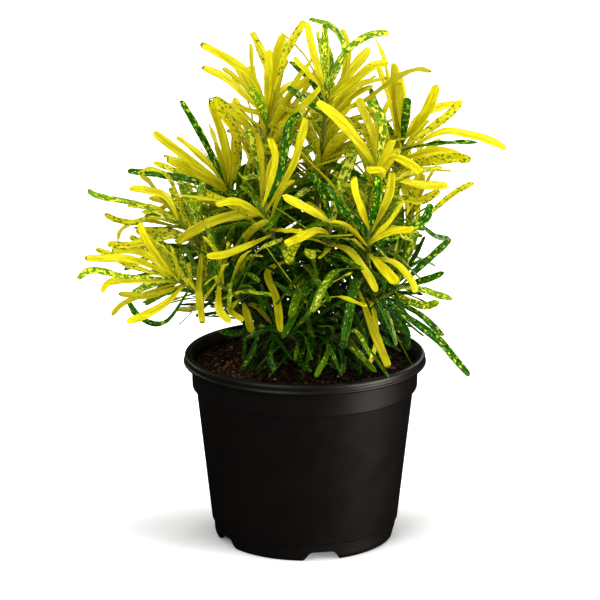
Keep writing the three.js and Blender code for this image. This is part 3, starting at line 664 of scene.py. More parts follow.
fibres, tones = [], []
for k in range(FIBRES):
    start = np.array(somewhere(rng, reach - 6))
    way, bend = rng.random() * 2 * math.pi, (rng.random() - 0.5) * 2.4
    length = 4 + 9 * rng.random()
    line = []
    for share in np.linspace(0, 1, 8):
        turn = way + bend * share
        start = start + np.array([math.cos(turn), math.sin(turn)]) * length / 7
        x, y = start * min(1.0, (reach - 2) / max(1e-6, float(np.hypot(*start))))
        line.append((x, y, surface(x, y) + 0.35 + 0.8 * (2 * share - 1) ** 2 * rng.random()))
    fibres.append(tube(line, [0.12 + 0.16 * rng.random()] * len(line), 5))
    tone = STRAW if rng.random() < 0.6 else BROWN_FIBRE
    tones.append(tone * (0.7 + 0.6 * rng.random()))
strew("peat_fibres", fibres, tones)

# %% [markdown]
# ## How the plant grows
# The plant's solids were grown by a rule: leaves that show from the front run through listed
# places, the others are set round their shoots at the golden angle, and a leaf is kept only where
# there is room for it. This script follows the same rule with the same numbers, so its finer
# leaves lie where the solids lie. Curves through the listed points come first.

# %% Curves
UP = np.array([0.0, 0.0, 1.0])


def through(points, share):
    """Places on the smooth curve through the points, at one share or at many."""
    points = np.asarray(points, float)
    shares = np.atleast_1d(np.asarray(share, float))
    spans = len(points) - 1
    padded = np.vstack([2 * points[0] - points[1], points, 2 * points[-1] - points[-2]])
    i = np.minimum(np.floor(shares * spans).astype(int), spans - 1)
    f = (shares * spans - i)[:, None]
    a, b, c, d = padded[i], padded[i + 1], padded[i + 2], padded[i + 3]
    found = 0.5 * (2 * b + (c - a) * f + (2 * a - 5 * b + 4 * c - d) * f * f + (3 * b - a - 3 * c + d) * f**3)
    return found[0] if np.ndim(share) == 0 else found


def unit(vectors):
    """Vectors of length one."""
    return vectors / np.linalg.norm(vectors, axis=-1, keepdims=True)


def heading(points, share):
    """The curve's direction there."""
    share = np.asarray(share, float)
    return unit(through(points, np.minimum(1, share + 0.01)) - through(points, np.maximum(0, share - 0.01)))


print("half way along a curve:", through([UP * 0, UP, UP * 2], 0.5))

# %% [markdown]
# Chance needs care here: the solids were grown with a stream of seeded numbers, so the same
# stream is written out again, and every draw is made in the same order.

# %% A seeded stream of numbers
def stream(seed):
    """A seeded stream of numbers from 0 to 1."""
    state = seed & 0xFFFFFFFF

    def draw():
        nonlocal state
        state = (state + 0x6D2B79F5) & 0xFFFFFFFF
        bits = ((state ^ (state >> 15)) * (state | 1)) & 0xFFFFFFFF
        bits = ((bits + (((bits ^ (bits >> 7)) * (bits | 61)) & 0xFFFFFFFF)) & 0xFFFFFFFF) ^ bits
        return (bits ^ (bits >> 14)) / 4294967296

    return draw


print("first number of a stream:", round(stream(7)(), 4))

# %% [markdown]
# A place [across, up, depth] is where the line of sight from the front meets the upright plane
# through the pot's axis, and how far behind (+) or before (-) that plane the thing really is. So a
# leaf can be put exactly where it should show, and its depth can still be chosen freely.

# %% Sight lines
EYE_DISTANCE, EYE_HEIGHT = 1578.0, 590.0
CROWN_MIDDLE = 230.0
EYE_WARD = unit(np.array([0.0, -EYE_DISTANCE, EYE_HEIGHT - CROWN_MIDDLE]))


def sighted(place):
    """The real point of an [across, up, depth]."""
    across, up, depth = place
    stretch = 1 + depth / EYE_DISTANCE
    return np.array([across * stretch, depth, EYE_HEIGHT + (up - EYE_HEIGHT) * stretch])


def sight_of(point):
    """Where a real point shows, as [across, up]."""
    stretch = 1 + point[1] / EYE_DISTANCE
    return np.array([point[0] / stretch, EYE_HEIGHT + (point[2] - EYE_HEIGHT) / stretch])


print("a place and back:", sight_of(sighted((50, 300, -40))))

# %% [markdown]
# The crown's outline keeps the leaves that are set by rule inside the shape that the whole plant
# has: narrow at the soil, widest at a third of its height, and drawn in to a leaning top.

# %% The crown's outline
CROWN = [
    (112, -50, 90), (136, -76, 92), (153, -112, 94), (171, -124, 94), (188, -138, 94), (210, -128, 96),
    (227, -124, 86), (245, -128, 92), (266, -104, 106), (280, -96, 116), (308, -80, 98), (326, -66, 82),
    (347, -58, 52), (362, -10, 24),
]
CROWN_DEPTH = 122.0


def inside_crown(point):
    """Whether a point lies within the crown."""
    across, up = sight_of(point)
    if up < CROWN[0][0] or up > CROWN[-1][0] or abs(point[1]) > CROWN_DEPTH:
        return False
    k = next(k for k, row in enumerate(CROWN) if row[0] >= up) or 1
    low, high = CROWN[k - 1], CROWN[k]
    share = (up - low[0]) / (high[0] - low[0])
    left, right = mix(low[1], high[1], share), mix(low[2], high[2], share)
    bulge = math.sqrt(1 - (point[1] / (CROWN_DEPTH * 1.25)) ** 2)
    return abs(across - (left + right) / 2) < (right - left) / 2 * bulge


print("the crown is widest:", max(right - left for _, left, right in CROWN), "mm")

# %% [markdown]
# A leaf may hang over the rim, but it may not cut through the pot or lie in the soil.

# %% Room over the soil and round the pot
CLEAR_OF_SOIL, CLEAR_OF_WALL, CLEAR_OF_RIM = 2, 4, 2.5


def clear_of_pot(points):
    """Which points are clear of the soil, of the rim and of the pot's wall."""
    x, y, z = points.T
    radius = np.hypot(x, y)
    over_soil = z > soil_height(x, y) + CLEAR_OF_SOIL
    over_rim = (z > POT_HEIGHT + CLEAR_OF_RIM) | (radius > RIM_RADIUS + CLEAR_OF_RIM)
    return np.where(radius < SHOULDER_RADIUS - CLEAR_OF_WALL, over_soil, over_rim)


tried = np.array([[0, 0, 140], [0, 0, 120], [80, 0, 140]])
print("clear over the soil, in it and over the rim:", clear_of_pot(tried))

# %% [markdown]
# Room is kept in a grid of small cubes, like a sketch in building blocks. A leaf that is grown
# marks the cubes round it, and a later leaf may not pass through marked cubes.

# %% The grid of room
CUBE = 1.5
APART = 3.6
ASIDE = 2.3
SHOOT_ROOM = 5.0
ROOTS_APART = 3.2
STALK = 12.0
SEVERAL = -1
GRID_START = np.array([-200, -200, 0])
taken = np.zeros((400, 400, 300), np.int8)
close = np.zeros((400, 400, 300), bool)


def cubes_near(points, radius):
    """Indices of every cube whose middle is within radius of one of the points."""
    steps = math.ceil(radius / CUBE)
    span = np.arange(-steps, steps + 1)
    round_about = np.stack(np.meshgrid(span, span, span, indexing="ij"), -1).reshape(-1, 3)
    own = np.floor(points / CUBE)
    cubes = own[:, None] + round_about
    gap = (cubes + 0.5) * CUBE - points[:, None]
    found = cubes[(gap**2).sum(-1) < radius**2].astype(int) - GRID_START
    return tuple(found.T)


def own_cubes(points, radius, owner):
    """Marks the cubes near the points as that stem's, or as several stems'."""
    cubes = cubes_near(points, radius)
    held = taken[cubes]
    taken[cubes] = np.where((held != 0) & (held != owner + 1), SEVERAL, owner + 1)


print("cubes in the grid:", taken.size)

# %% [markdown]
# ## The leaves
# Every leaf has a middle line, a width, and a rule for which way it faces along that line. The
# coarse outline below is the solids' own, and only tests for room.

# %% A leaf's line and width
BLADE_WIDTH, BLADE_LENGTH = 5.6, 84.0
SHADED_SHARE, SHADED_LOW, SHADED_HIGH = 0.62, 150.0, 220.0
BLADE_OUTLINE = ((0, 0.3), (0.14, 0.48), (0.42, 0.96), (0.8, 0.95), (1, 0.34))


def full_width(root):
    """A leaf's width, less where it roots low on the plant in its own shade."""
    share = clamp((root[2] - SHADED_LOW) / (SHADED_HIGH - SHADED_LOW))
    return BLADE_WIDTH * mix(SHADED_SHARE, 1, share)


def section(leaf, shares):
    """Points on the middle line with the directions along, out of and across the blade."""
    shares = np.asarray(shares, float)
    point, along = through(leaf["line"], shares), heading(leaf["line"], shares)
    face = leaf["facing"](along, shares)
    face = unit(face - along * (face * along).sum(-1, keepdims=True))
    return point, along, face, np.cross(along, face)


print("widths of low and of high leaves:", full_width((0, 0, SHADED_LOW)), full_width((0, 0, SHADED_HIGH)))

# %% [markdown]
# A leaf is tried out before it grows. Points are spread over it, and it grows only if all of them
# lie in free cubes and clear of the pot. Its first millimetres only have to be clear of the other
# stems, because every leaf starts in the crowd at its shoot.

# %% Growing a leaf where there is room
def room_samples(leaf):
    """Points over the blade and how far each lies from the root."""
    shares = np.arange(47) / 46
    point, _, _, across = section(leaf, shares)
    run = np.concatenate([[0], np.cumsum(np.linalg.norm(np.diff(point, axis=0), axis=1))])
    at, full = zip(*BLADE_OUTLINE)
    half = leaf["width"] / 2 * np.interp(shares, at, full)
    sides = np.array([-1, -0.5, 0, 0.5, 1])
    spread = point[:, None] + across[:, None] * (half[:, None] * sides)[..., None]
    return spread.reshape(-1, 3), np.repeat(run, len(sides))


def grow(leaf, shoot, owner):
    """Grows the leaf on its shoot where there is room for it."""
    points, run = room_samples(leaf)
    cubes = tuple((np.floor(points / CUBE).astype(int) - GRID_START).T)
    held = taken[cubes]
    if np.any((held != 0) & (held != owner + 1)):
        return False
    free = run >= STALK
    if np.any(free & (close[cubes] | ~clear_of_pot(points))):
        return False
    shoot["grown"].append(leaf)
    own_cubes(points, APART, owner)
    close[cubes_near(points[free], ASIDE)] = True
    return True


# %% [markdown]
# A leaf that shows from the front is listed as how wide it shows, how much it leans to the back
# (+) or the front (-), and the places it shows at, from its tip back towards its root. It takes
# root on its shoot where that is nearest, and turns about its middle line until it shows as wide
# as listed.

# %% Where a listed leaf takes root
def root_for(shoot, place):
    """The point of the shoot that shows nearest to a place and isn't crowded with roots."""
    root, least, share = None, math.inf, 0.04
    while share <= 1:
        candidate = through(shoot["line"], share)
        crowd = sum(np.linalg.norm(leaf["line"][0] - candidate) < ROOTS_APART for leaf in shoot["grown"])
        gap = math.hypot(*(sight_of(candidate) - place)) + crowd * ROOTS_APART
        if gap < least:
            least, root = gap, candidate
        share += 0.02
    return root


# %% [markdown]
# The places that show give a leaf's path across and up. How far it runs towards the eye or away
# can't be seen, so that follows from its length: what doesn't show across must run in depth.

# %% Listed leaves
SHORTEST_REACH = 0.3  # of a leaf's length, that any listed leaf may run towards the eye or away
BEND = 1.2  # above 1, more of that run is near the tip
STRAIGHT_START = 9  # a listed place nearer to the root than this is left out
LIFTED_FACE = 0.12  # how much each blade's face is turned up to the light


def sighted_leaf(shoot, row, change):
    """A listed leaf, leaning more to the back or the front by a change."""
    showing, lean, tip, *way = row
    root = root_for(shoot, way[-1])
    places = [sight_of(root), *way[::-1], tip]
    runs = [0.0]
    for here, after in zip(places, places[1:]):
        runs.append(runs[-1] + math.hypot(after[0] - here[0], after[1] - here[1]))
    seen = runs[-1]
    spare = max(BLADE_LENGTH**2 - seen**2, (BLADE_LENGTH * SHORTEST_REACH) ** 2)
    reach = (lean + change) * math.sqrt(spare)
    line = [
        sighted((across, up, root[1] + reach * (run / seen) ** BEND))
        for k, ((across, up), run) in enumerate(zip(places, runs)) if k == 0 or run > STRAIGHT_START
    ]
    width = max(full_width(root), showing)
    shown = min(1, showing / width)
    hand = np.sign(np.cross(heading(line, 0.5), EYE_WARD)[2]) or 1

    def facing(along, shares):
        turned_away = np.cross(along, EYE_WARD) * hand * math.sqrt(1 - shown * shown)
        return EYE_WARD * shown + turned_away + UP * LIFTED_FACE

    return {"line": line, "width": width, "facing": facing}


# %% [markdown]
# The other leaves follow the way such a shrub grows: one after another up the shoot, each a
# golden angle further round. Low leaves spread and hang, and top leaves stand up.

# %% The habit of the plant
GOLDEN_TURN = math.radians(137.508)
HABIT = SimpleNamespace(
    roots=(0.12, 0.98),  # share of the shoot's length at its lowest and its top leaf
    spread=(80, 30),  # degrees between the shoot and its lowest leaf, and its top leaf
    spread_varies=34,
    turn_varies=1.5,
    lengths=(0.62, 1.08),
    widths=(0.82, 1.06),
    sags=(0.02, 0.3),  # how far the tip hangs, as a share of the length
    sway=0.24,
    roll=1.5,
    twist=1.2,
)
print("golden turn:", round(math.degrees(GOLDEN_TURN), 3), "degrees")


# %% Leaves set by rule
def set_leaf(shoot, count, fill, turn, draw, lengths=HABIT.lengths, widths=HABIT.widths):
    """The leaf with that count of the fill leaves round a shoot."""
    height = (count + 0.6) / (fill + 0.2)
    place = mix(*HABIT.roots, height)
    root, axis = through(shoot["line"], place), heading(shoot["line"], place)
    level = unit(np.array([0.0, 1.0, 0.0]) - axis * axis[1])
    side = np.cross(axis, level)
    azimuth = turn + (draw() - 0.5) * HABIT.turn_varies
    spread = math.radians(mix(*HABIT.spread, height**1.5) + (draw() - 0.5) * HABIT.spread_varies)
    start = axis * math.cos(spread) + (level * math.cos(azimuth) + side * math.sin(azimuth)) * math.sin(spread)
    length = BLADE_LENGTH * mix(*lengths, draw())
    sag = mix(*HABIT.sags, draw()) * mix(1.2, 0.5, height)
    sway = np.array([draw() - 0.5, draw() - 0.5, 0.0]) * HABIT.sway * length
    middle = root + start * length * 0.5 + UP * length * sag * 0.2
    tip = root + start * length * 0.97 - UP * length * sag + sway
    outward = unit(np.array([tip[0] - root[0], tip[1] - root[1], 0.0]))
    roll, twist = (draw() - 0.5) * HABIT.roll, (draw() - 0.5) * HABIT.twist

    def facing(along, shares):
        face = UP * (along @ outward)[:, None] - outward * along[:, 2:]
        angle = (roll + twist * shares)[:, None]
        return face * np.cos(angle) + np.cross(along, face) * np.sin(angle)

    return {"line": [root, middle, tip], "width": full_width(root) * mix(*widths, draw()), "facing": facing}


# %% [markdown]
# Here is the plant as it was read off: for each stem its place in the soil and its fork,
# and for each shoot its path, the number of leaves set by rule, and the leaves that show. The
# letter is the leaf's finish: Y gold, S gold with green specks, M mottled, G green with gold dust,
# O dull gold.

# %% How a stem is listed
STEMS = {}


def list_stem(name, hole, fork):
    """Starts the list of a stem."""
    STEMS[name] = {"hole": hole, "fork": fork, "shoots": []}


def list_shoot(path, fill, leaves=()):
    """Adds a shoot to the stem that was started last."""
    shoots = STEMS[list(STEMS)[-1]]["shoots"]
    shoots.append({"path": path, "fill": fill, "leaves": leaves})
    print(list(STEMS)[-1], "shoot", len(shoots), "leaves that show:", len(leaves))


# %% [markdown]
# The left stem leans out over the rim. Its lowest shoot makes the arching leaves at the far left,
# the next one the tuft above them, and a short one hangs over the soil.

# %% The left stem
list_stem("stem_left", hole=(-27, -3), fork=(-33, 158, -18))
list_shoot([(-62, 170, -32), (-92, 186, -44)], 5, [
    ("M", 4.5, -1.3, (-158, 185), (-150, 191), (-138, 190), (-125, 187)),
    ("Y", 5, -0.6, (-153, 200), (-140, 200), (-125, 200), (-110, 196)),
    ("Y", 4.5, 0.2, (-142, 176), (-135, 183), (-118, 184)),
    ("O", 4, -0.4, (-130, 174), (-108, 173)),
    ("M", 5, 0.7, (-120, 175), (-108, 181)),
    ("O", 3.5, -0.2, (-135, 159), (-127, 167), (-112, 174)),
    ("G", 3.5, 0.1, (-124, 169), (-118, 160), (-108, 153), (-95, 156), (-84, 172)),
    ("Y", 5, -0.7, (-125, 154), (-112, 159), (-97, 168)),
    ("S", 4, 0.4, (-145, 207), (-135, 202), (-120, 194)),
    ("Y", 4.5, -0.8, (-115, 225), (-110, 213), (-100, 198)),
    ("Y", 5, 0.5, (-134, 206), (-112, 204)),
])
list_shoot([(-58, 196, -16), (-88, 227, -14)], 5, [
    ("M", 4, -0.3, (-150, 248), (-140, 243), (-118, 239)),
    ("S", 4, -0.3, (-139, 231), (-130, 227), (-118, 225), (-105, 229)),
    ("O", 2.5, 0.6, (-114, 260), (-105, 251)),
    ("Y", 5, 0.3, (-121, 250), (-108, 248), (-95, 243)),
    ("O", 3.5, 0.7, (-130, 213), (-126, 221), (-112, 227)),
    ("G", 2, 0.9, (-118, 222), (-105, 221)),
    ("S", 5, -0.2, (-137, 210), (-125, 209), (-108, 212)),
    ("Y", 6.5, -0.9, (-24, 234), (-45, 231), (-62, 227), (-78, 219), (-89, 211)),
    ("Y", 4.5, -0.8, (-72, 153), (-74, 178), (-77, 205)),
    ("S", 2.5, 0.5, (-115, 261), (-104, 263), (-92, 254)),
])
list_shoot([(-48, 174, -44), (-62, 183, -60)], 5, [
    ("S", 4, 0.6, (-90, 163), (-76, 165)),
    ("Y", 5, -0.6, (-52, 154), (-60, 164), (-64, 176)),
    ("Y", 5, -0.3, (-37, 146), (-40, 158), (-46, 167)),
    ("Y", 4, -0.7, (-43, 155), (-52, 163)),
    ("O", 3.5, -0.1, (-23, 152), (-33, 165), (-40, 172)),
    ("G", 4, 0.2, (-57, 181), (-50, 196)),
])

# %% [markdown]
# The next stem makes the top left of the crown: a tall shoot with upright leaves, and a side shoot
# whose leaves fan out to the left.

# %% The upper left stem
list_stem("stem_upper_left", hole=(-12, 15), fork=(-19, 190, 10))
list_shoot([(-23, 250, 8), (-26, 306, 6)], 8, [
    ("Y", 5.5, -0.2, (-71, 350), (-50, 338), (-35, 325)),
    ("Y", 5, 0.5, (-70, 334), (-55, 327), (-40, 314)),
    ("S", 5, 0.7, (-36, 358), (-30, 345), (-25, 328)),
    ("Y", 5.5, -0.6, (-24, 346), (-25, 322)),
    ("M", 6, -0.9, (-38, 321), (-30, 308), (-23, 290)),
    ("S", 5, 0.2, (0, 365), (-3, 361), (-12, 345), (-20, 325)),
    ("Y", 5, 0.8, (-7, 324), (-18, 314)),
    ("Y", 5, -0.7, (12, 321), (-12, 297)),
    ("S", 4.5, -0.8, (-63, 312), (-55, 298), (-40, 286)),
    ("Y", 4, 0.6, (-53, 309), (-38, 304)),
    ("Y", 2.5, -0.5, (-50, 306), (-35, 296)),
])
list_shoot([(-38, 222, 22), (-54, 252, 26)], 6, [
    ("Y", 5.5, -0.3, (-65, 310), (-57, 288), (-53, 268)),
    ("S", 5.5, 0.4, (-54, 306), (-48, 288), (-46, 270)),
    ("G", 4.5, 0.2, (-85, 311), (-72, 288), (-62, 268)),
    ("Y", 5.5, -0.2, (-104, 289), (-90, 278), (-72, 264)),
    ("Y", 4, 0.5, (-88, 286), (-75, 275), (-63, 263)),
    ("Y", 5.5, -0.8, (-95, 270), (-80, 263), (-60, 252)),
    ("Y", 4, -0.7, (-62, 281), (-57, 266)),
    ("S", 4, 0.8, (-104, 268), (-80, 258)),
    ("G", 5, 0.1, (-122, 262), (-98, 259), (-74, 254)),
])

# %% [markdown]
# The centre stem is the tallest. Two short shoots in front of it fill the middle.

# %% The centre stem
list_stem("stem_centre", hole=(3, -1), fork=(2, 176, -20))
list_shoot([(9, 250, -8), (16, 320, 0)], 9, [
    ("Y", 5, 0.2, (1, 365), (5, 345), (10, 330)),
    ("M", 4, 0.6, (3, 367), (15, 363), (23, 356), (26, 342)),
    ("M", 5, -0.4, (13, 363), (13, 345)),
    ("M", 5, 0.3, (57, 357), (45, 356), (33, 349), (22, 336)),
    ("Y", 4.5, 0.5, (25, 360), (29, 346), (26, 326)),
    ("M", 4, -0.9, (8, 358), (11, 340)),
    ("M", 5, 0.8, (15, 348), (18, 330)),
    ("Y", 5.5, -0.3, (57, 337), (45, 334), (30, 322)),
    ("O", 3.5, 0.4, (86, 331), (75, 332), (60, 325), (38, 309)),
    ("G", 4.5, 0.7, (-10, 338), (3, 326)),
    ("Y", 5, -0.8, (-8, 340), (4, 328)),
    ("G", 5, -0.5, (-12, 320), (0, 311)),
])
list_shoot([(-17, 206, -40), (-30, 237, -48)], 6, [
    ("G", 5, 0.6, (-3, 302), (-11, 294), (-14, 272), (-20, 252)),
    ("Y", 5, -0.3, (1, 300), (-3, 283), (-10, 262)),
    ("O", 4, 0.3, (-33, 290), (-30, 268)),
    ("Y", 4.5, -0.5, (-24, 286), (-20, 271), (-24, 253)),
    ("Y", 5, -0.6, (-17, 147), (-20, 171), (-26, 190)),
    ("Y", 5, -0.7, (-68, 201), (-52, 204)),
    ("Y", 3.5, -0.9, (-3, 219), (-18, 220)),
    ("Y", 5, -0.4, (-62, 238), (-46, 240)),
])
list_shoot([(12, 200, -46), (19, 226, -62)], 5, [
    ("Y", 5.5, -0.8, (-14, 210), (-5, 214), (8, 220)),
    ("Y", 5.5, -0.4, (-15, 244), (-5, 239), (8, 232)),
    ("Y", 5, 0.4, (0, 240), (11, 231)),
    ("G", 4.5, 0.3, (4, 262), (12, 246)),
    ("Y", 5, -0.5, (50, 176), (42, 191), (30, 206)),
])

# %% [markdown]
# The right stem leans to the right and carries the long leaf that reaches out furthest there.

# %% The right stem
list_stem("stem_right", hole=(34, 10), fork=(40, 190, 14))
list_shoot([(56, 240, 20), (68, 286, 26)], 8, [
    ("Y", 2.5, 0.3, (48, 353), (54, 338), (58, 318)),
    ("O", 5.5, -0.7, (64, 323), (65, 306)),
    ("G", 5.5, -0.9, (70, 313), (69, 300)),
    ("Y", 6.5, -0.5, (90, 322), (85, 308), (77, 294)),
    ("S", 5.5, 0.2, (107, 311), (98, 301), (85, 291)),
    ("Y", 5.5, 0.8, (103, 309), (90, 306), (77, 298)),
    ("Y", 5.5, 1.9, (138, 278), (125, 284), (110, 288), (92, 289)),
    ("G", 3, 0.5, (118, 282), (105, 282), (88, 281)),
    ("Y", 6, -0.2, (110, 271), (90, 276)),
    ("S", 6.5, -0.4, (114, 270), (100, 271), (80, 268)),
    ("Y", 6, 0.6, (98, 252), (82, 252)),
    ("S", 5.5, 0, (93, 248), (78, 241)),
    ("G", 4, 0.4, (44, 320), (52, 300)),
])
list_shoot([(62, 205, 44), (80, 226, 64)], 8, [
    ("G", 4, 0.3, (101, 214), (90, 216)),
    ("S", 4, 0.5, (116, 254), (100, 244)),
])

# %% [markdown]
# The front right stem is nearest to the eye. Its low shoot hangs green leaves over the rim.

# %% The front right stem
list_stem("stem_front_right", hole=(23, -10), fork=(33, 168, -28))
list_shoot([(42, 222, -32), (49, 266, -34)], 7, [
    ("Y", 6.5, -0.9, (8, 310), (20, 301), (32, 288), (42, 275)),
    ("O", 5.5, -0.3, (36, 313), (40, 303), (46, 288)),
    ("M", 5.5, 0.3, (43, 311), (51, 302), (53, 286)),
    ("Y", 5.5, -0.7, (80, 260), (73, 266), (60, 271)),
    ("Y", 5, -0.5, (42, 262), (53, 262), (54, 250)),
    ("G", 5, 0.5, (15, 268), (30, 262)),
])
list_shoot([(42, 195, -50), (45, 221, -62)], 6, [
    ("G", 5.5, -0.3, (50, 259), (50, 243), (47, 230)),
    ("Y", 5.5, 0.4, (60, 262), (58, 245), (51, 230)),
    ("Y", 5, -0.5, (33, 258), (36, 243), (41, 230)),
    ("G", 5, 0, (15, 253), (23, 238), (36, 226)),
    ("Y", 5, -0.6, (76, 220), (60, 219)),
    ("G", 5.5, 0.3, (87, 239), (83, 228), (68, 218)),
    ("Y", 5.5, -0.5, (59, 121), (52, 138), (45, 156), (40, 178)),
    ("Y", 6.5, -0.75, (64, 182), (58, 189), (50, 204)),
    ("Y", 4.5, -0.2, (77, 175), (74, 184), (62, 197), (50, 207)),
    ("Y", 3, -0.6, (45, 122), (50, 143), (46, 168)),
])
list_shoot([(52, 172, -34), (68, 181, -36)], 7, [
    ("G", 4.5, 0.3, (101, 214), (92, 205), (78, 192)),
    ("G", 4.5, -0.3, (97, 190), (88, 186), (78, 183)),
    ("M", 4.5, 0.6, (103, 171), (92, 174), (80, 178)),
    ("M", 5, -0.7, (94, 169), (84, 166), (72, 170)),
    ("G", 4, -0.4, (97, 144), (90, 151), (80, 160), (70, 166)),
    ("G", 5, 0.1, (116, 115), (105, 128), (95, 140), (80, 152), (66, 162)),
    ("G", 4, 0.5, (72, 134), (70, 150)),
])

# %% [markdown]
# The two back stems barely show, so all of their leaves are set by rule.

# %% The two back stems
list_stem("stem_back_left", hole=(-20, 38), fork=(-27, 168, 44))
list_shoot([(-48, 194, 62), (-70, 220, 78)], 9)
list_shoot([(-29, 226, 52), (-33, 274, 56)], 9)
list_shoot([(-32, 172, 72), (-40, 184, 92)], 8)
list_stem("stem_back_right", hole=(14, 41), fork=(18, 168, 46))
list_shoot([(28, 198, 72), (38, 226, 90)], 9)
list_shoot([(13, 230, 54), (15, 282, 52)], 9)
list_shoot([(44, 168, 62), (64, 176, 76)], 8)

# %% [markdown]
# The low stem makes the dark tufts over the soil in front.

# %% The low stem
list_stem("stem_low", hole=(6, -17), fork=(5, 137, -34))
list_shoot([(-14, 146, -44), (-32, 152, -44)], 7, [
    ("G", 3.2, -0.3, (-44, 120), (-38, 129)),
    ("G", 3.2, -0.5, (-21, 119), (-24, 131)),
    ("G", 3.4, 0.2, (-60, 147), (-46, 146)),
])
list_shoot([(22, 144, -44), (38, 150, -46)], 7, [
    ("G", 3.2, -0.4, (27, 117), (26, 130)),
    ("G", 3.2, -0.2, (62, 136), (50, 145)),
])
list_shoot([(3, 152, -52), (2, 170, -58)], 7, [
    ("G", 3.4, -0.5, (5, 118), (-4, 127), (-4, 140)),
])

# %% [markdown]
# Growing runs in the same order as for the solids: all stems claim their room first, then the
# listed leaves take theirs, and the leaves set by rule fill what is left.

# %% Claim room for the stems
COLLAR = SOIL_CROWN + 3.0  # where a trunk comes clear of the soil

stems = []
for owner, (name, plan) in enumerate(STEMS.items()):
    fork = sighted(plan["fork"])
    collar = np.array([*plan["hole"], COLLAR])
    middle = mix(collar, fork, np.array([0.35, 0.35, 0.5]))
    shoots = []
    for k, row in enumerate(plan["shoots"]):
        line = [fork, *(sighted(place) for place in row["path"])]
        shoots.append({**row, "line": line, "draw": stream(100 * owner + 10 * k + 7), "grown": []})
    stems.append({"name": name, "hole": plan["hole"], "trunk": [collar, middle, fork], "shoots": shoots})

for owner, stem in enumerate(stems):
    for line in (stem["trunk"], *(shoot["line"] for shoot in stem["shoots"])):
        own_cubes(through(line, np.cumsum([0.0] + [0.01] * 99)), SHOOT_ROOM, owner)
print("cubes held by stems:", int((taken != 0).sum()))


def all_leaves():
    """Every leaf that has grown so far, stem by stem."""
    return [leaf for stem in stems for shoot in stem["shoots"] for leaf in shoot["grown"]]


# %% Grow the listed leaves
LEANS = (0, 0.1, -0.1, 0.2, -0.2, 0.3, -0.3, 0.45, -0.45, 0.6, -0.6, 0.8, -0.8, 1, -1)


def grow_listed(row, shoot, owner):
    """Grows a listed leaf at the first lean at which it has room."""
    kind, *places = row
    for change in LEANS:
        leaf = sighted_leaf(shoot, places, change)
        leaf["kind"] = kind
        if grow(leaf, shoot, owner):
            return True
    return False


missed = 0
for owner, stem in enumerate(stems):
    for shoot in stem["shoots"]:
        missed += sum(not grow_listed(row, shoot, owner) for row in shoot["leaves"])
by_hand = len(all_leaves())
print("grown by hand:", by_hand, "without room:", missed)

# %% [markdown]
# A leaf set by rule must not stand before a listed one, or the plant would look different from
# the front. So the view from the front is divided into small squares, and each keeps the depth of
# the foremost listed leaf.

# %% The front view in squares
HIDING = 0.12  # the share of a leaf that may stand before listed leaves
showing = np.full((400, 300), -np.inf)


def squares(points):
    """The squares of the front view in which points show."""
    stretch = 1 + points[:, 1] / EYE_DISTANCE
    across = np.floor(points[:, 0] / stretch / CUBE).astype(int) - GRID_START[0]
    up = np.floor((EYE_HEIGHT + (points[:, 2] - EYE_HEIGHT) / stretch) / CUBE).astype(int)
    return across, up


def hides_listed(leaf):
    """Whether much of the leaf would stand before listed leaves."""
    leaf_points, _ = room_samples(leaf)
    return np.mean(leaf_points[:, 1] < showing[squares(leaf_points)]) > HIDING


for leaf in all_leaves():
    leaf_points, _ = room_samples(leaf)
    for across, up, depth in zip(*squares(leaf_points), leaf_points[:, 1]):
        first = np.isinf(showing[across, up])
        showing[across, up] = depth if first else min(depth, showing[across, up])
print("squares with leaves placed by hand:", int(np.isfinite(showing).sum()))

# %% [markdown]
# Each shoot tries one leaf in turn, as many as are listed for it. A leaf without room is tried a
# golden angle further round, up to sixteen times in all, as a shoot turns its leaves to the light.

# %% Grow the leaves set by rule
REDRAWS = 16


def fill_round(count, owner, shoot, fill, turn, draw, **sizes):
    """Sets one more leaf on a shoot, if there is room for it within the crown."""
    for attempt in range(REDRAWS):
        leaf = set_leaf(shoot, count, fill, turn + GOLDEN_TURN * attempt, draw, **sizes)
        inside = inside_crown(leaf["line"][-1]) and inside_crown(through(leaf["line"], 0.75))
        if inside and not hides_listed(leaf) and grow(leaf, shoot, owner):
            return True
    return False


most = max(shoot["fill"] for stem in stems for shoot in stem["shoots"])
for count in range(most):
    for owner, stem in enumerate(stems):
        for shoot in stem["shoots"]:
            if count < shoot["fill"]:
                fill_round(count, owner, shoot, shoot["fill"], GOLDEN_TURN * count, shoot["draw"])
by_rule = len(all_leaves()) - by_hand
print("grown by rule:", by_rule)

# %% [markdown]
# A real croton is far denser than the solids: young leaves ring each shoot's tip, thin leaves
# fill the shade inside, and old ones hang from the lower stems over the soil. They are added by
# the same rule. First the room is counted again, now much closer to each blade.

# %% Make room for the finer leaves
APART, ASIDE = 0.1, 1.4
taken[:] = 0
close[:] = False
for leaf in all_leaves():
    leaf_points, run = room_samples(leaf)
    close[cubes_near(leaf_points[run >= STALK], ASIDE)] = True
print("cubes of room taken:", int(close.sum()))

# %% [markdown]
# Old leaves also hang from the bare part of each stem, under its fork, so each stem's trunk gets
# leaves like a shoot. The lowest shoots get the most: they make the dark thicket over the soil.
# At the left the soil stays bare, as it is on the real plant.

# %% Add the finer leaves
FINER_ON_SHOOT, FINER_ON_TRUNK, FINER_LOW, LOW_SHOOT = 46, 34, 64, 200.0
FINER_LENGTHS = (0.45, 1.0)
FINER_WIDTHS = {False: (0.85, 1.25), True: (0.6, 1.0)}  # narrower on the low shoots
FINER_SEED = 9000


def over_open_soil(leaf):
    """Whether the leaf's tip hangs over the bare soil at the left or past the thicket's right."""
    across, up = sight_of(leaf["line"][-1])
    return (up < 158 and across < -50) or (up < 215 and across > 84)


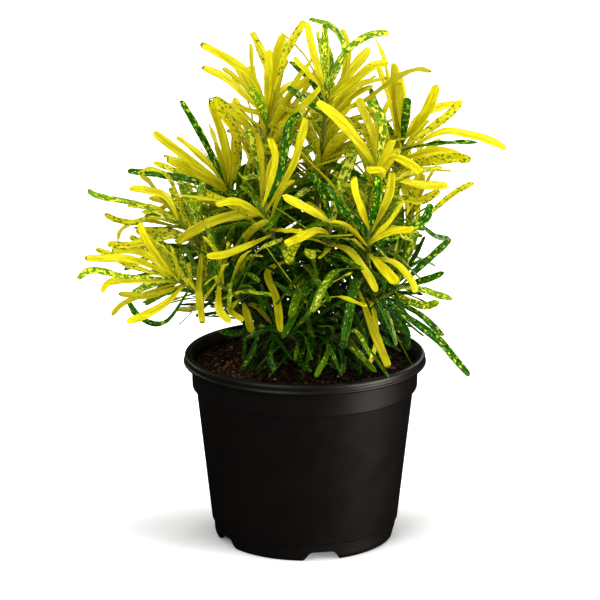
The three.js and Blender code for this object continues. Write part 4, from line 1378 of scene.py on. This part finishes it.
def add_finer(owner, shoot, fill, widths, draw):
    """Sets further leaves on one shoot, wherever there is still room."""
    for count in range(fill):
        turn = GOLDEN_TURN * (count + 0.5)
        if fill_round(count, owner, shoot, fill, turn, draw, lengths=FINER_LENGTHS, widths=widths):
            shoot["grown"][-1]["finer"] = True
            if over_open_soil(shoot["grown"][-1]):
                shoot["grown"].pop()


for owner, stem in enumerate(stems):
    shoots = stem["shoots"]
    shoots.append({"line": stem["trunk"], "grown": []})
    for k, shoot in enumerate(shoots):
        low = shoot["line"][-1][2] < LOW_SHOOT
        fill = FINER_ON_TRUNK if shoot is shoots[-1] else FINER_LOW if low else FINER_ON_SHOOT
        taken[:] = 0
        add_finer(owner, shoot, fill, FINER_WIDTHS[low], stream(FINER_SEED + 100 * owner + 10 * k))
print("finer leaves:", len(all_leaves()) - by_hand - by_rule)

# %% [markdown]
# A new leaf of this croton is gold, and green spreads over it from specks as it ages or where it
# grows in shade. So each leaf gets an age from 0 to 1: as listed for those that show, and for the
# rest by how deep in the crown and how low they hang. Each leaf also gets a darkening from 0 to 1:
# painted shade low and deep inside the crown, and a random duller tone.

# %% Give each leaf its age, its painted shade and its own small differences
AGES = {"Y": 0.06, "S": 0.24, "M": 0.5, "G": 0.9, "O": 0.12}
PAINTED_SHADE_BY_KIND = {"Y": 0.5, "S": 0.5, "M": 0.5, "G": 0.75}  # how much painted shade darkens each kind


def give_age(leaf, looks):
    """Writes the leaf's age and how far it is darkened, both from 0 to 1: by painted shade low and deep in the
    crown, by a random duller tone, and in full on O leaves.
    """
    leaf["seed"] = looks()
    wobble = looks() - 0.5
    across, depth, up = leaf["line"][-1]
    outer = math.hypot(across, depth) / 100
    # Painted shade: it grows the lower the leaf's tip hangs and the deeper inside the crown it lies.
    shade = clamp((250 - up) / 70) * min(1.0, max(0.2, 1.4 - outer))
    if "kind" in leaf:
        leaf["age"] = AGES[leaf["kind"]] + 0.06 * wobble
        # O leaves are darkened to olive in full. Other listed leaves get part of the painted shade.
        leaf["tone_and_painted_shade"] = 1.0 if leaf["kind"] == "O" else shade * PAINTED_SHADE_BY_KIND[leaf["kind"]]
        return
    high = max(0.0, (up - 190) / 130)
    shaded = 1.2 - 0.5 * outer**1.5 - high + (0.08 if "finer" in leaf else 0)
    youngest = 0.82 if up < 195 and outer < 0.9 else 0.05
    leaf["age"] = min(0.97, max(youngest, shaded + 0.5 * wobble))
    # Painted shade low and deep in the crown, but never less than a random duller tone of up to 0.35.
    leaf["tone_and_painted_shade"] = max(shade**0.7, 0.35 * looks())


looks = stream(77)
for leaf in all_leaves():
    give_age(leaf, looks)
ages = np.array([leaf["age"] for leaf in all_leaves()])
print("gold leaves:", int((ages < 0.4).sum()), "green:", int((ages > 0.65).sum()), "of", len(ages))

# %% [markdown]
# ## Building a blade
# A leaf could be one flat card with a picture on it, but it would vanish when seen edge on. Each
# one here is a closed, thin solid: an outline that is narrow at the stalk, widest past the middle
# and rounded at the tip, or more pointed low on the plant, with a channel along the midrib, a rib
# under it and wavy margins.

# %% The blade's outline along its length
FULL = ((0, 0.34), (0.08, 0.38), (0.2, 0.62), (0.34, 0.86), (0.5, 0.98), (0.68, 1.0), (0.86, 0.92), (1, 0.76))


def smooth_values(table, shares):
    """Values on a smooth curve through a table of (share, value) pairs."""
    at, value = np.array(table, float).T
    rise = np.gradient(value, at)
    k = np.clip(np.searchsorted(at, shares, side="right") - 1, 0, len(at) - 2)
    width = at[k + 1] - at[k]
    f = (shares - at[k]) / width
    return (
        value[k] * (1 + 2 * f) * (1 - f) ** 2 + rise[k] * width * f * (1 - f) ** 2
        + value[k + 1] * f * f * (3 - 2 * f) + rise[k + 1] * width * f * f * (f - 1)
    )


def blade_stations(length, width, pointed):
    """Shares along a blade, close together at its tip, and the share of full width at each."""
    tip_start = 1 - min(0.4, width * mix(0.5, 3.2, pointed**1.5) / length)
    body = np.linspace(0, tip_start, 19)[:-1]
    turn = np.linspace(0, math.pi / 2, 8)
    tip = tip_start + (1 - tip_start) * np.sin(turn)
    shares = np.concatenate([body, tip])
    full = smooth_values(FULL, shares)
    narrowing = np.concatenate([np.ones(len(body)), np.maximum(0.12, np.cos(turn) ** mix(0.8, 1.15, pointed))])
    return shares, full * narrowing


print("stations along a blade:", len(blade_stations(80.0, 5.0, 0.5)[0]))

# %% [markdown]
# Across the blade nine points make the upper face and seven the lower. The blade curls up from
# its midrib, its margins wave, a groove runs along the middle with a rib under it, and towards the
# root it all thickens into a round stalk.

# %% The relief across a blade
UPPER = np.linspace(-1, 1, 9)
LOWER = np.linspace(0.82, -0.82, 7)
AROUND = np.concatenate([UPPER, LOWER])
IS_UNDER = np.concatenate([np.zeros(9), np.ones(7)])
WIDER = 1.1  # the margin stands out a little past the solids' straight edges
ROUND = np.sqrt(np.clip(1 - AROUND**2, 0, 1))


def relief(s, half, length, draw):
    """Height of each point over the blade's middle surface, in millimetres."""
    stalk = np.clip(1 - s / 0.16, 0, 1) ** 1.5
    spread = np.clip((s - 0.12) / 0.25, 0, 1)
    channel = mix(0.08, 0.24, draw()) * half * (np.abs(AROUND) ** 1.25 - 0.35) * spread
    waves = mix(0.12, 0.55, draw()) * spread * AROUND**2
    along = s * length / mix(3.4, 5.2, draw())
    waves = waves * np.sin(along + AROUND * mix(0.6, 2.2, draw()) + 6.3 * draw())
    rib = 0.28 * np.exp(-((AROUND / 0.16) ** 2)) * (1 - 0.6 * s)
    groove = 0.16 * np.exp(-((AROUND / 0.1) ** 2)) * spread
    thick = mix(0.52, 0.34, AROUND**2) * (1 - 0.35 * s) + rib + 1.25 * stalk * ROUND
    level = 0.2 + channel + waves + 0.55 * stalk * ROUND - groove * (1 - IS_UNDER)
    return level - IS_UNDER * thick


# %% [markdown]
# With its relief known, the blade is a strip of rings, closed at both ends. Each point also keeps
# its own place on the leaf in millimetres, the leaf's age and its painted shade, for the finish to
# read.

# %% One blade as points and faces
SEEDS_APART, UNDER_APART = 200.0, 9.0  # keep each leaf's pattern, and its two faces', different


def blade(leaf):
    """Points, faces and the notes for one leaf."""
    draw = stream(int(leaf["seed"] * 1e9))
    coarse = through(leaf["line"], np.linspace(0, 1, 30))
    length = np.linalg.norm(np.diff(coarse, axis=0), axis=1).sum()
    high = clamp((leaf["line"][0][2] - 150) / 60)
    shares, full = blade_stations(length, leaf["width"], draw() * mix(1.0, 0.25, high))
    point, along, face, across = section(leaf, shares)
    s = shares[:, None]
    unevenness = 1 + 0.05 * np.sin(s * mix(9, 16, draw()) + 6.3 * draw())
    half = WIDER * leaf["width"] / 2 * full[:, None] * unevenness
    level = relief(s, half, length, draw)
    points = point[:, None] + across[:, None] * (half * AROUND)[..., None] + face[:, None] * level[..., None]
    rows, around = len(shares), len(AROUND)
    i, j = np.meshgrid(np.arange(rows - 1), np.arange(around), indexing="ij")
    a, b = i * around + j, i * around + (j + 1) % around
    quads = np.stack([a, b, b + around, a + around], -1).reshape(-1, 4)
    ends = [tuple(range(around - 1, -1, -1)), tuple((rows - 1) * around + k for k in range(around))]
    run = np.concatenate([[0], np.cumsum(np.linalg.norm(np.diff(point, axis=0), axis=1))])[:, None]
    apart = leaf["seed"] * SEEDS_APART + IS_UNDER * UNDER_APART

    def for_each_point(*values):
        """Three values for each point, from values along or around the blade."""
        spread = [np.broadcast_to(value, (rows, around)) for value in values]
        return np.stack(spread, -1).reshape(-1, 3)

    return {
        "mesh": (points.reshape(-1, 3), quads.tolist() + ends),
        "leaf_place": for_each_point(half * AROUND, run, apart),
        "leaf_notes": for_each_point(np.abs(AROUND), s, IS_UNDER),
        # The third note holds the leaf's age, its painted shade and its seed.
        "leaf_age_painted_shade_seed": for_each_point(leaf["age"], leaf["tone_and_painted_shade"], leaf["seed"]),
    }


print("points and faces of one blade:", [len(part) for part in blade(stems[0]["shoots"][0]["grown"][0])["mesh"]])

# %% [markdown]
# ## The leaves' finishes
# The pattern is the plant's own: green specks on gold, then green patches, then gold dust on
# green. One picture of a leaf would repeat on every blade, so the pattern is worked out in each
# leaf's own millimetres, along and across it, and the leaf's age decides how far green has spread.

# %% The colours of the leaves
GOLD, GOLD_DEEP, LIME = colour(222, 214, 38), colour(194, 184, 18), colour(132, 160, 10)
PALE, BROWN = colour(238, 234, 96), colour(84, 76, 14)
DUST, PALE_DUST = colour(190, 206, 46), colour(206, 220, 96)
GREEN, GREEN_DEEP, GREEN_BRIGHT = colour(46, 116, 6), colour(16, 72, 3), colour(96, 150, 8)
# The last two colours here are painted shade: nearly black for green leaves and olive for gold ones, low and
# deep in the crown.
LIME_GREEN, GREEN_PAINTED_SHADE, OLIVE_PAINTED_SHADE = colour(112, 154, 12), colour(6, 22, 2), colour(132, 126, 14)
UNDER_GOLD, UNDER_GREEN = colour(190, 182, 28), colour(60, 104, 18)

# %% [markdown]
# First the finish reads what was noted on the leaf. The leaf's own millimetres are bent a little
# by noise and drawn out along the blade, so that patches and specks get ragged edges and run
# lengthwise, as they do between the veins.

# %% Read a leaf
def read_leaf(finish):
    """What was noted on a leaf, with its place also ragged and drawn out."""
    place = finish.read("leaf_place", "Vector")
    edge, share, under = finish.parts(finish.read("leaf_notes", "Vector"))
    # The second of these three values is the leaf's painted shade, mixed with a random duller tone.
    age, tone_and_painted_shade, seed = finish.parts(finish.read("leaf_age_painted_shade_seed", "Vector"))
    bent = {0: finish.noise(place, 0.9, output="Color"), 1: (1.7, 1.7, 0.0), 2: place}
    ragged = finish.add("VectorMath", bent, operation="MULTIPLY_ADD").outputs[0]
    drawn_out = finish.stretched(ragged, (1.0, 0.5, 1.0))
    return SimpleNamespace(
        place=place, drawn_out=drawn_out, edge=edge, share=share, under=under, age=age, tone_and_painted_shade=tone_and_painted_shade, seed=seed,
    )


# %% [markdown]
# Green spreads where a cloudy noise and the leaf's age together pass a limit, a little sooner at
# the margin. Ahead of it go green specks on the gold, and behind it gold dust stays on the green.
# The specks are the dots of a cell noise, each with its own size.

# %% Where green has spread, and its specks
def spread_of_green(finish, leaf, greener):
    """From 0 on gold to 1 on green."""
    patches = finish.noise(leaf.drawn_out, 0.34, 3.0, 0.55)
    patches = finish.plus(patches, finish.times(leaf.edge, 0.07))
    aged = finish.plus(patches, finish.times(finish.minus(leaf.age, 0.5), 1.05))
    return finish.step(finish.plus(aged, greener), 0.525, 0.575)


def specks_and_dust(finish, leaf):
    """Green specks on gold, fine dust on green, and coarse dust that shrinks where painted shade darkens the
    leaf.
    """
    size, distance = finish.dots(leaf.drawn_out, 0.52)
    # The coarse dust is smaller where painted shade darkens the leaf, so it stays dim in the thicket.
    largest = finish.step(leaf.tone_and_painted_shade, 0.1, 0.8, 0.56, 0.28)
    dusting = finish.step(finish.minus(finish.times(size, largest), distance), -0.02, 0.14)
    size, distance = finish.dots(leaf.drawn_out, 0.8)
    at_margin = finish.times(finish.maths("POWER", leaf.edge, 3.0), 0.28)
    largest = finish.plus(finish.times(leaf.age, 2.8), at_margin)
    specks = finish.step(finish.minus(finish.times(size, largest), distance), 0.0, 0.16)
    fine = finish.step(finish.minus(finish.times(size, 0.4), distance), -0.02, 0.1, 0.0, 0.8)
    return specks, fine, dusting


# %% [markdown]
# Neither zone is one flat colour. Gold is streaked along the blade, limier at its foot and along
# the midrib, paler where it is about to turn, and darkened to olive by painted shade. Green is
# darkest in old leaves and brightest along the midrib, and painted shade darkens it nearly to
# black deep in the thicket.

# %% The gold zone and the green zone
def gold_zone(finish, leaf, specks):
    """The colour where green has not spread yet."""
    soft = finish.noise(finish.stretched(leaf.place, (1.0, 0.12, 1.0)), 0.55, 4.0)
    gold = finish.blend(finish.step(soft, 0.35, 0.65), GOLD, GOLD_DEEP)
    gold = finish.blend(finish.step(leaf.share, 0.25, 0.0, 0.0, 0.35), gold, LIME)
    gold = finish.blend(finish.step(leaf.edge, 0.14, 0.0, 0.0, 0.3), gold, LIME)
    gold = finish.blend(finish.step(leaf.age, 0.3, 0.5, 0.0, 0.75), gold, PALE)
    # Painted shade: olive over the gold, low and deep in the crown, and in full on O leaves.
    gold = finish.blend(finish.times(leaf.tone_and_painted_shade, 0.45), gold, OLIVE_PAINTED_SHADE)
    return finish.blend(finish.times(specks, 0.9), gold, GREEN)


def green_zone(finish, leaf, fine, dusting):
    """The colour where green has spread."""
    clouds = finish.noise(leaf.drawn_out, 0.5, 4.0)
    green = finish.blend(finish.step(clouds, 0.4, 0.62), GREEN, GREEN_DEEP)
    green = finish.blend(finish.step(leaf.age, 0.85, 0.55, 0.0, 1.0), green, LIME_GREEN)
    green = finish.blend(finish.step(leaf.edge, 0.16, 0.0, 0.0, 0.45), green, GREEN_BRIGHT)
    green = finish.blend(fine, green, PALE_DUST)
    green = finish.blend(finish.times(dusting, 0.92), green, DUST)
    # Painted shade: green darkened nearly to black, low and deep in the crown.
    return finish.blend(finish.times(leaf.tone_and_painted_shade, 0.9), green, GREEN_PAINTED_SHADE)


# %% [markdown]
# Some leaves have a dry brown tip. The lower face is paler, fine side veins raise the surface,
# and light passes through a thin leaf, which subsurface scattering stands for.

# %% Put the leaf's finish together
def leaf_finish(name, greener):
    """The finish of all leaves of a kind."""
    finish = Finish(name)
    leaf = read_leaf(finish)
    spread = spread_of_green(finish, leaf, greener)
    specks, fine, dusting = specks_and_dust(finish, leaf)
    face = finish.blend(spread, gold_zone(finish, leaf, specks), green_zone(finish, leaf, fine, dusting))
    dry_tip = finish.times(finish.step(leaf.share, 0.965, 0.985), finish.step(leaf.seed, 0.62, 0.66))
    face = finish.blend(finish.times(dry_tip, 0.8), face, BROWN)
    below = finish.blend(spread, UNDER_GOLD, UNDER_GREEN)
    face = finish.blend(finish.times(leaf.under, 0.6), face, below)
    run = finish.parts(leaf.place)["Y"]
    veins = finish.maths("SINE", finish.plus(finish.times(run, 3.6), finish.times(leaf.edge, -4.0)))
    relief = finish.bump(veins, 0.00005, 0.5)
    relief = finish.bump(finish.noise(leaf.place, 0.9, 4.0), 0.0002, 0.5, relief)
    rough = finish.step(finish.noise(leaf.place, 0.3, 3.0), 0.3, 0.7, 0.3, 0.46)
    return finish.wear(
        Base_Color=face, Roughness=rough, Normal=relief, Specular_IOR_Level=0.18,
        Subsurface_Weight=0.45, Subsurface_Radius=(1.0, 0.9, 0.15), Subsurface_Scale=0.0015,
    )


gold_leaf = leaf_finish("gold_leaf", 0.0)
green_leaf = leaf_finish("green_leaf", 0.02)
print("nodes in a leaf's finish:", len(gold_leaf.node_tree.nodes))

# %% [markdown]
# The stems are woody at the foot, grey brown with fine cracks, and turn olive green where they
# are young. Rings of small scars mark where old leaves have dropped.

# %% The stems' finish
def young_bark():
    """Grey-brown bark that is green where it is young."""
    finish = Finish("young_bark")
    cracks = finish.noise(finish.stretched(finish.place(), (1.0, 1.0, 0.35)), 900.0, 5.0, 0.65)
    wood = finish.blend(finish.step(cracks, 0.4, 0.62), colour(30, 24, 16), colour(74, 62, 46))
    green = finish.blend(finish.step(cracks, 0.35, 0.7), colour(92, 108, 18), colour(146, 152, 36))
    shown = finish.blend(finish.read("young"), wood, green)
    return finish.wear(Base_Color=shown, Roughness=0.7, Normal=finish.bump(cracks, 0.0004, 0.7))


bark = young_bark()
print("nodes in the bark:", len(bark.node_tree.nodes))

# %% [markdown]
# Each stem becomes three pieces: its wood with all of its shoots, its gold leaves and its green
# ones. At the upper left a blade has withered in its middle, as insects or dry air can do, so a
# bare wiry midrib is bent over between two tips.

# %% The wood of a stem
FOOT, TRUNK_RADIUS, FORK_RADIUS, SHOOT_RADIUS, TIP_RADIUS = 96.0, 4.2, 3.0, 2.2, 1.3
TRUNK_RINGS, SHOOT_RINGS, WOOD_SIDES = 40, 36, 14
BARE_MIDRIB = ((-65, 310), (-54, 306))


def scarred(line, first, last, steps, seed):
    """A tube that swells a little at each leaf scar."""
    shares = np.linspace(0, 1, steps)
    scars = 0.22 * np.maximum(0, np.sin(shares * steps * 0.9 + seed)) ** 3
    return tube(through(line, shares), mix(first, last, shares) + scars, WOOD_SIDES)


def bare_midrib(leaves):
    """The wiry midrib that is left between two tips where the blade has withered."""
    tips = [leaf["line"][-1] for leaf in leaves]
    ends = [min(tips, key=lambda tip: np.linalg.norm(sight_of(tip) - place)) for place in BARE_MIDRIB]
    middle = (ends[0] + ends[1]) / 2 + UP * 4.5
    line = [ends[0] - UP * 1.5, ends[0] + UP * 2.2, middle, ends[1]]
    return tube(through(line, np.linspace(0, 1, 24)), np.full(24, 0.4), 8)


def wood_of(stem):
    """The woody part of one stem, from below the soil to its shoots' tips."""
    foot = np.array([*stem["hole"], FOOT])
    parts = [scarred([foot, *stem["trunk"]], TRUNK_RADIUS, FORK_RADIUS, TRUNK_RINGS, 1.0)]
    young = [np.zeros(len(parts[0][0]))]
    for k, shoot in enumerate(stem["shoots"][:-1]):
        parts.append(scarred(shoot["line"], SHOOT_RADIUS, TIP_RADIUS, SHOOT_RINGS, float(k)))
        young.append(np.repeat(np.linspace(0.15, 1, SHOOT_RINGS), WOOD_SIDES))
    if stem["name"] == "stem_upper_left":
        listed = [leaf for shoot in stem["shoots"] for leaf in shoot["grown"] if "kind" in leaf]
        parts.append(bare_midrib(listed))
        young.append(np.zeros(len(parts[-1][0])))
    wood = make_piece(stem["name"] + "_wood", *merge(parts), bark)
    note(wood, "young", np.concatenate(young))
    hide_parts(stem["name"])
    return wood


# %% Build each leafy stem
GREEN_AGE = 0.62  # a leaf of at least this age goes with the green ones


def leaves_of(stem, kind, finish, wanted):
    """One stem's leaves of one kind as one piece."""
    grown = [leaf for shoot in stem["shoots"] for leaf in shoot["grown"]]
    built = [blade(leaf) for leaf in grown if wanted(leaf["age"])]
    leaves = make_piece(f"{stem['name']}_{kind}_leaves", *merge([part["mesh"] for part in built]), finish)
    for name in ("leaf_place", "leaf_notes", "leaf_age_painted_shade_seed"):
        note(leaves, name, np.concatenate([part[name] for part in built]))
    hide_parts(stem["name"])
    return leaves


for stem in stems:
    built = [
        wood_of(stem),
        leaves_of(stem, "gold", gold_leaf, lambda age: age < GREEN_AGE),
        leaves_of(stem, "green", green_leaf, lambda age: age >= GREEN_AGE),
    ]
    print(stem["name"], "faces of wood, gold and green:", [len(piece.data.polygons) for piece in built])


# %% [markdown]
# ## The studio
# The plant stands on a plain white floor that runs up into a white wall far behind, so no edge
# shows. The floor glows a little, and more with distance, so that only a soft shadow is left at
# the pot's foot. It is hidden from reflections, or the black plastic would look grey.

# %% Floor and wall in one sweep
SWEEP = [(-3.0, 0.0), (2.2, 0.0), (2.6, 0.05), (2.95, 0.2), (3.15, 0.5), (3.2, 0.9), (3.2, 4.0)]
HALF_WIDTH = 5.0

white = Finish("studio_white")
near = white.stretched(white.place(), (0.25, 1.0, 1.0))
away = white.add("VectorMath", {0: near}, operation="LENGTH").outputs["Value"]
studio_white = white.wear(
    Base_Color=colour(238, 238, 238), Roughness=0.9, Specular_IOR_Level=0.1,
    Emission_Color=(1, 1, 1, 1), Emission_Strength=white.step(away, 0.015, 0.09, 0.04, 0.6),
)
points = [(x, y, z) for y, z in SWEEP for x in (-HALF_WIDTH, HALF_WIDTH)]
mesh = bpy.data.meshes.new("studio_sweep")
mesh.from_pydata(points, [], [(2 * k, 2 * k + 1, 2 * k + 3, 2 * k + 2) for k in range(len(SWEEP) - 1)])
mesh.materials.append(studio_white)
mesh.shade_smooth()
sweep = bpy.data.objects.new("studio_sweep", mesh)
sweep.visible_glossy = False
bpy.context.collection.objects.link(sweep)
print("faces of the sweep:", len(mesh.polygons))

# %% [markdown]
# A large soft light from the upper left front models the leaves, a warm one fills from low on the
# right, one hangs overhead, and a small one from behind draws the rim. Two cards show only as
# sheen on the plastic, which is how a black thing is given its form in a studio.

# %% Lights
def soft_light(name, place, target, size, power, tint=(1, 1, 1)):
    """A square soft box at a place in metres, turned to the target."""
    light = bpy.data.lights.new(name, "AREA")
    light.shape, light.size, light.energy, light.color = "SQUARE", size, power, tint
    box = bpy.data.objects.new(name, light)
    box.location = place
    box.rotation_euler = (Vector(target) - Vector(place)).to_track_quat("-Z", "Y").to_euler()
    bpy.context.collection.objects.link(box)
    return box


soft_light("key_light", (-1.0, -1.7, 1.5), (0, 0, 0.22), 0.9, 14.5)
soft_light("fill_light", (1.35, -0.6, 0.2), (0, 0, 0.08), 0.7, 14, (1, 0.93, 0.86))
soft_light("top_light", (0.1, -0.3, 2.1), (0, 0, 0.2), 0.9, 15)
soft_light("rim_light", (0.9, 1.5, 0.9), (0.03, -0.03, 0.13), 0.5, 7)
cards = [
    soft_light("sheen_card", (1.3, -0.6, 0.12), (0, 0, 0.06), 0.7, 15, (1, 0.9, 0.8)),
    soft_light("edge_card", (-1.3, 1.1, 0.5), (-0.06, 0, 0.1), 0.5, 3),
]
for card in cards:
    card.visible_diffuse = False

world = bpy.data.worlds.new("studio_air")
bpy.context.scene.world = world
world.use_nodes = True
air = world.node_tree.nodes["Background"]
air.inputs["Color"].default_value = (1, 1, 1, 1)
air.inputs["Strength"].default_value = 0.78
world.cycles_visibility.glossy = False
print("lights:", len(bpy.data.lights))

# %% [markdown]
# ## The camera
# It stands about a metre and a half away, a little above the plant, and looks down by fifteen
# degrees, so the far rim of the pot shows as a narrow ellipse.

# %% Camera and colour
CAMERA_TILT, CAMERA_TURN = 75.1, 0.123
camera = bpy.data.objects.new("camera", bpy.data.cameras.new("camera"))
camera.location = (0, -EYE_DISTANCE * MM, EYE_HEIGHT * MM)
camera.rotation_euler = (math.radians(CAMERA_TILT), 0, math.radians(CAMERA_TURN))
camera.data.lens = 140.3
camera.data.sensor_width = 36.0
bpy.context.collection.objects.link(camera)
bpy.context.scene.camera = camera
bpy.context.scene.view_settings.view_transform = "Standard"
bpy.context.scene.view_settings.look = "None"
bpy.context.scene.view_settings.gamma = 0.84
print("camera from the pot, in metres:", round(camera.location.length, 3))
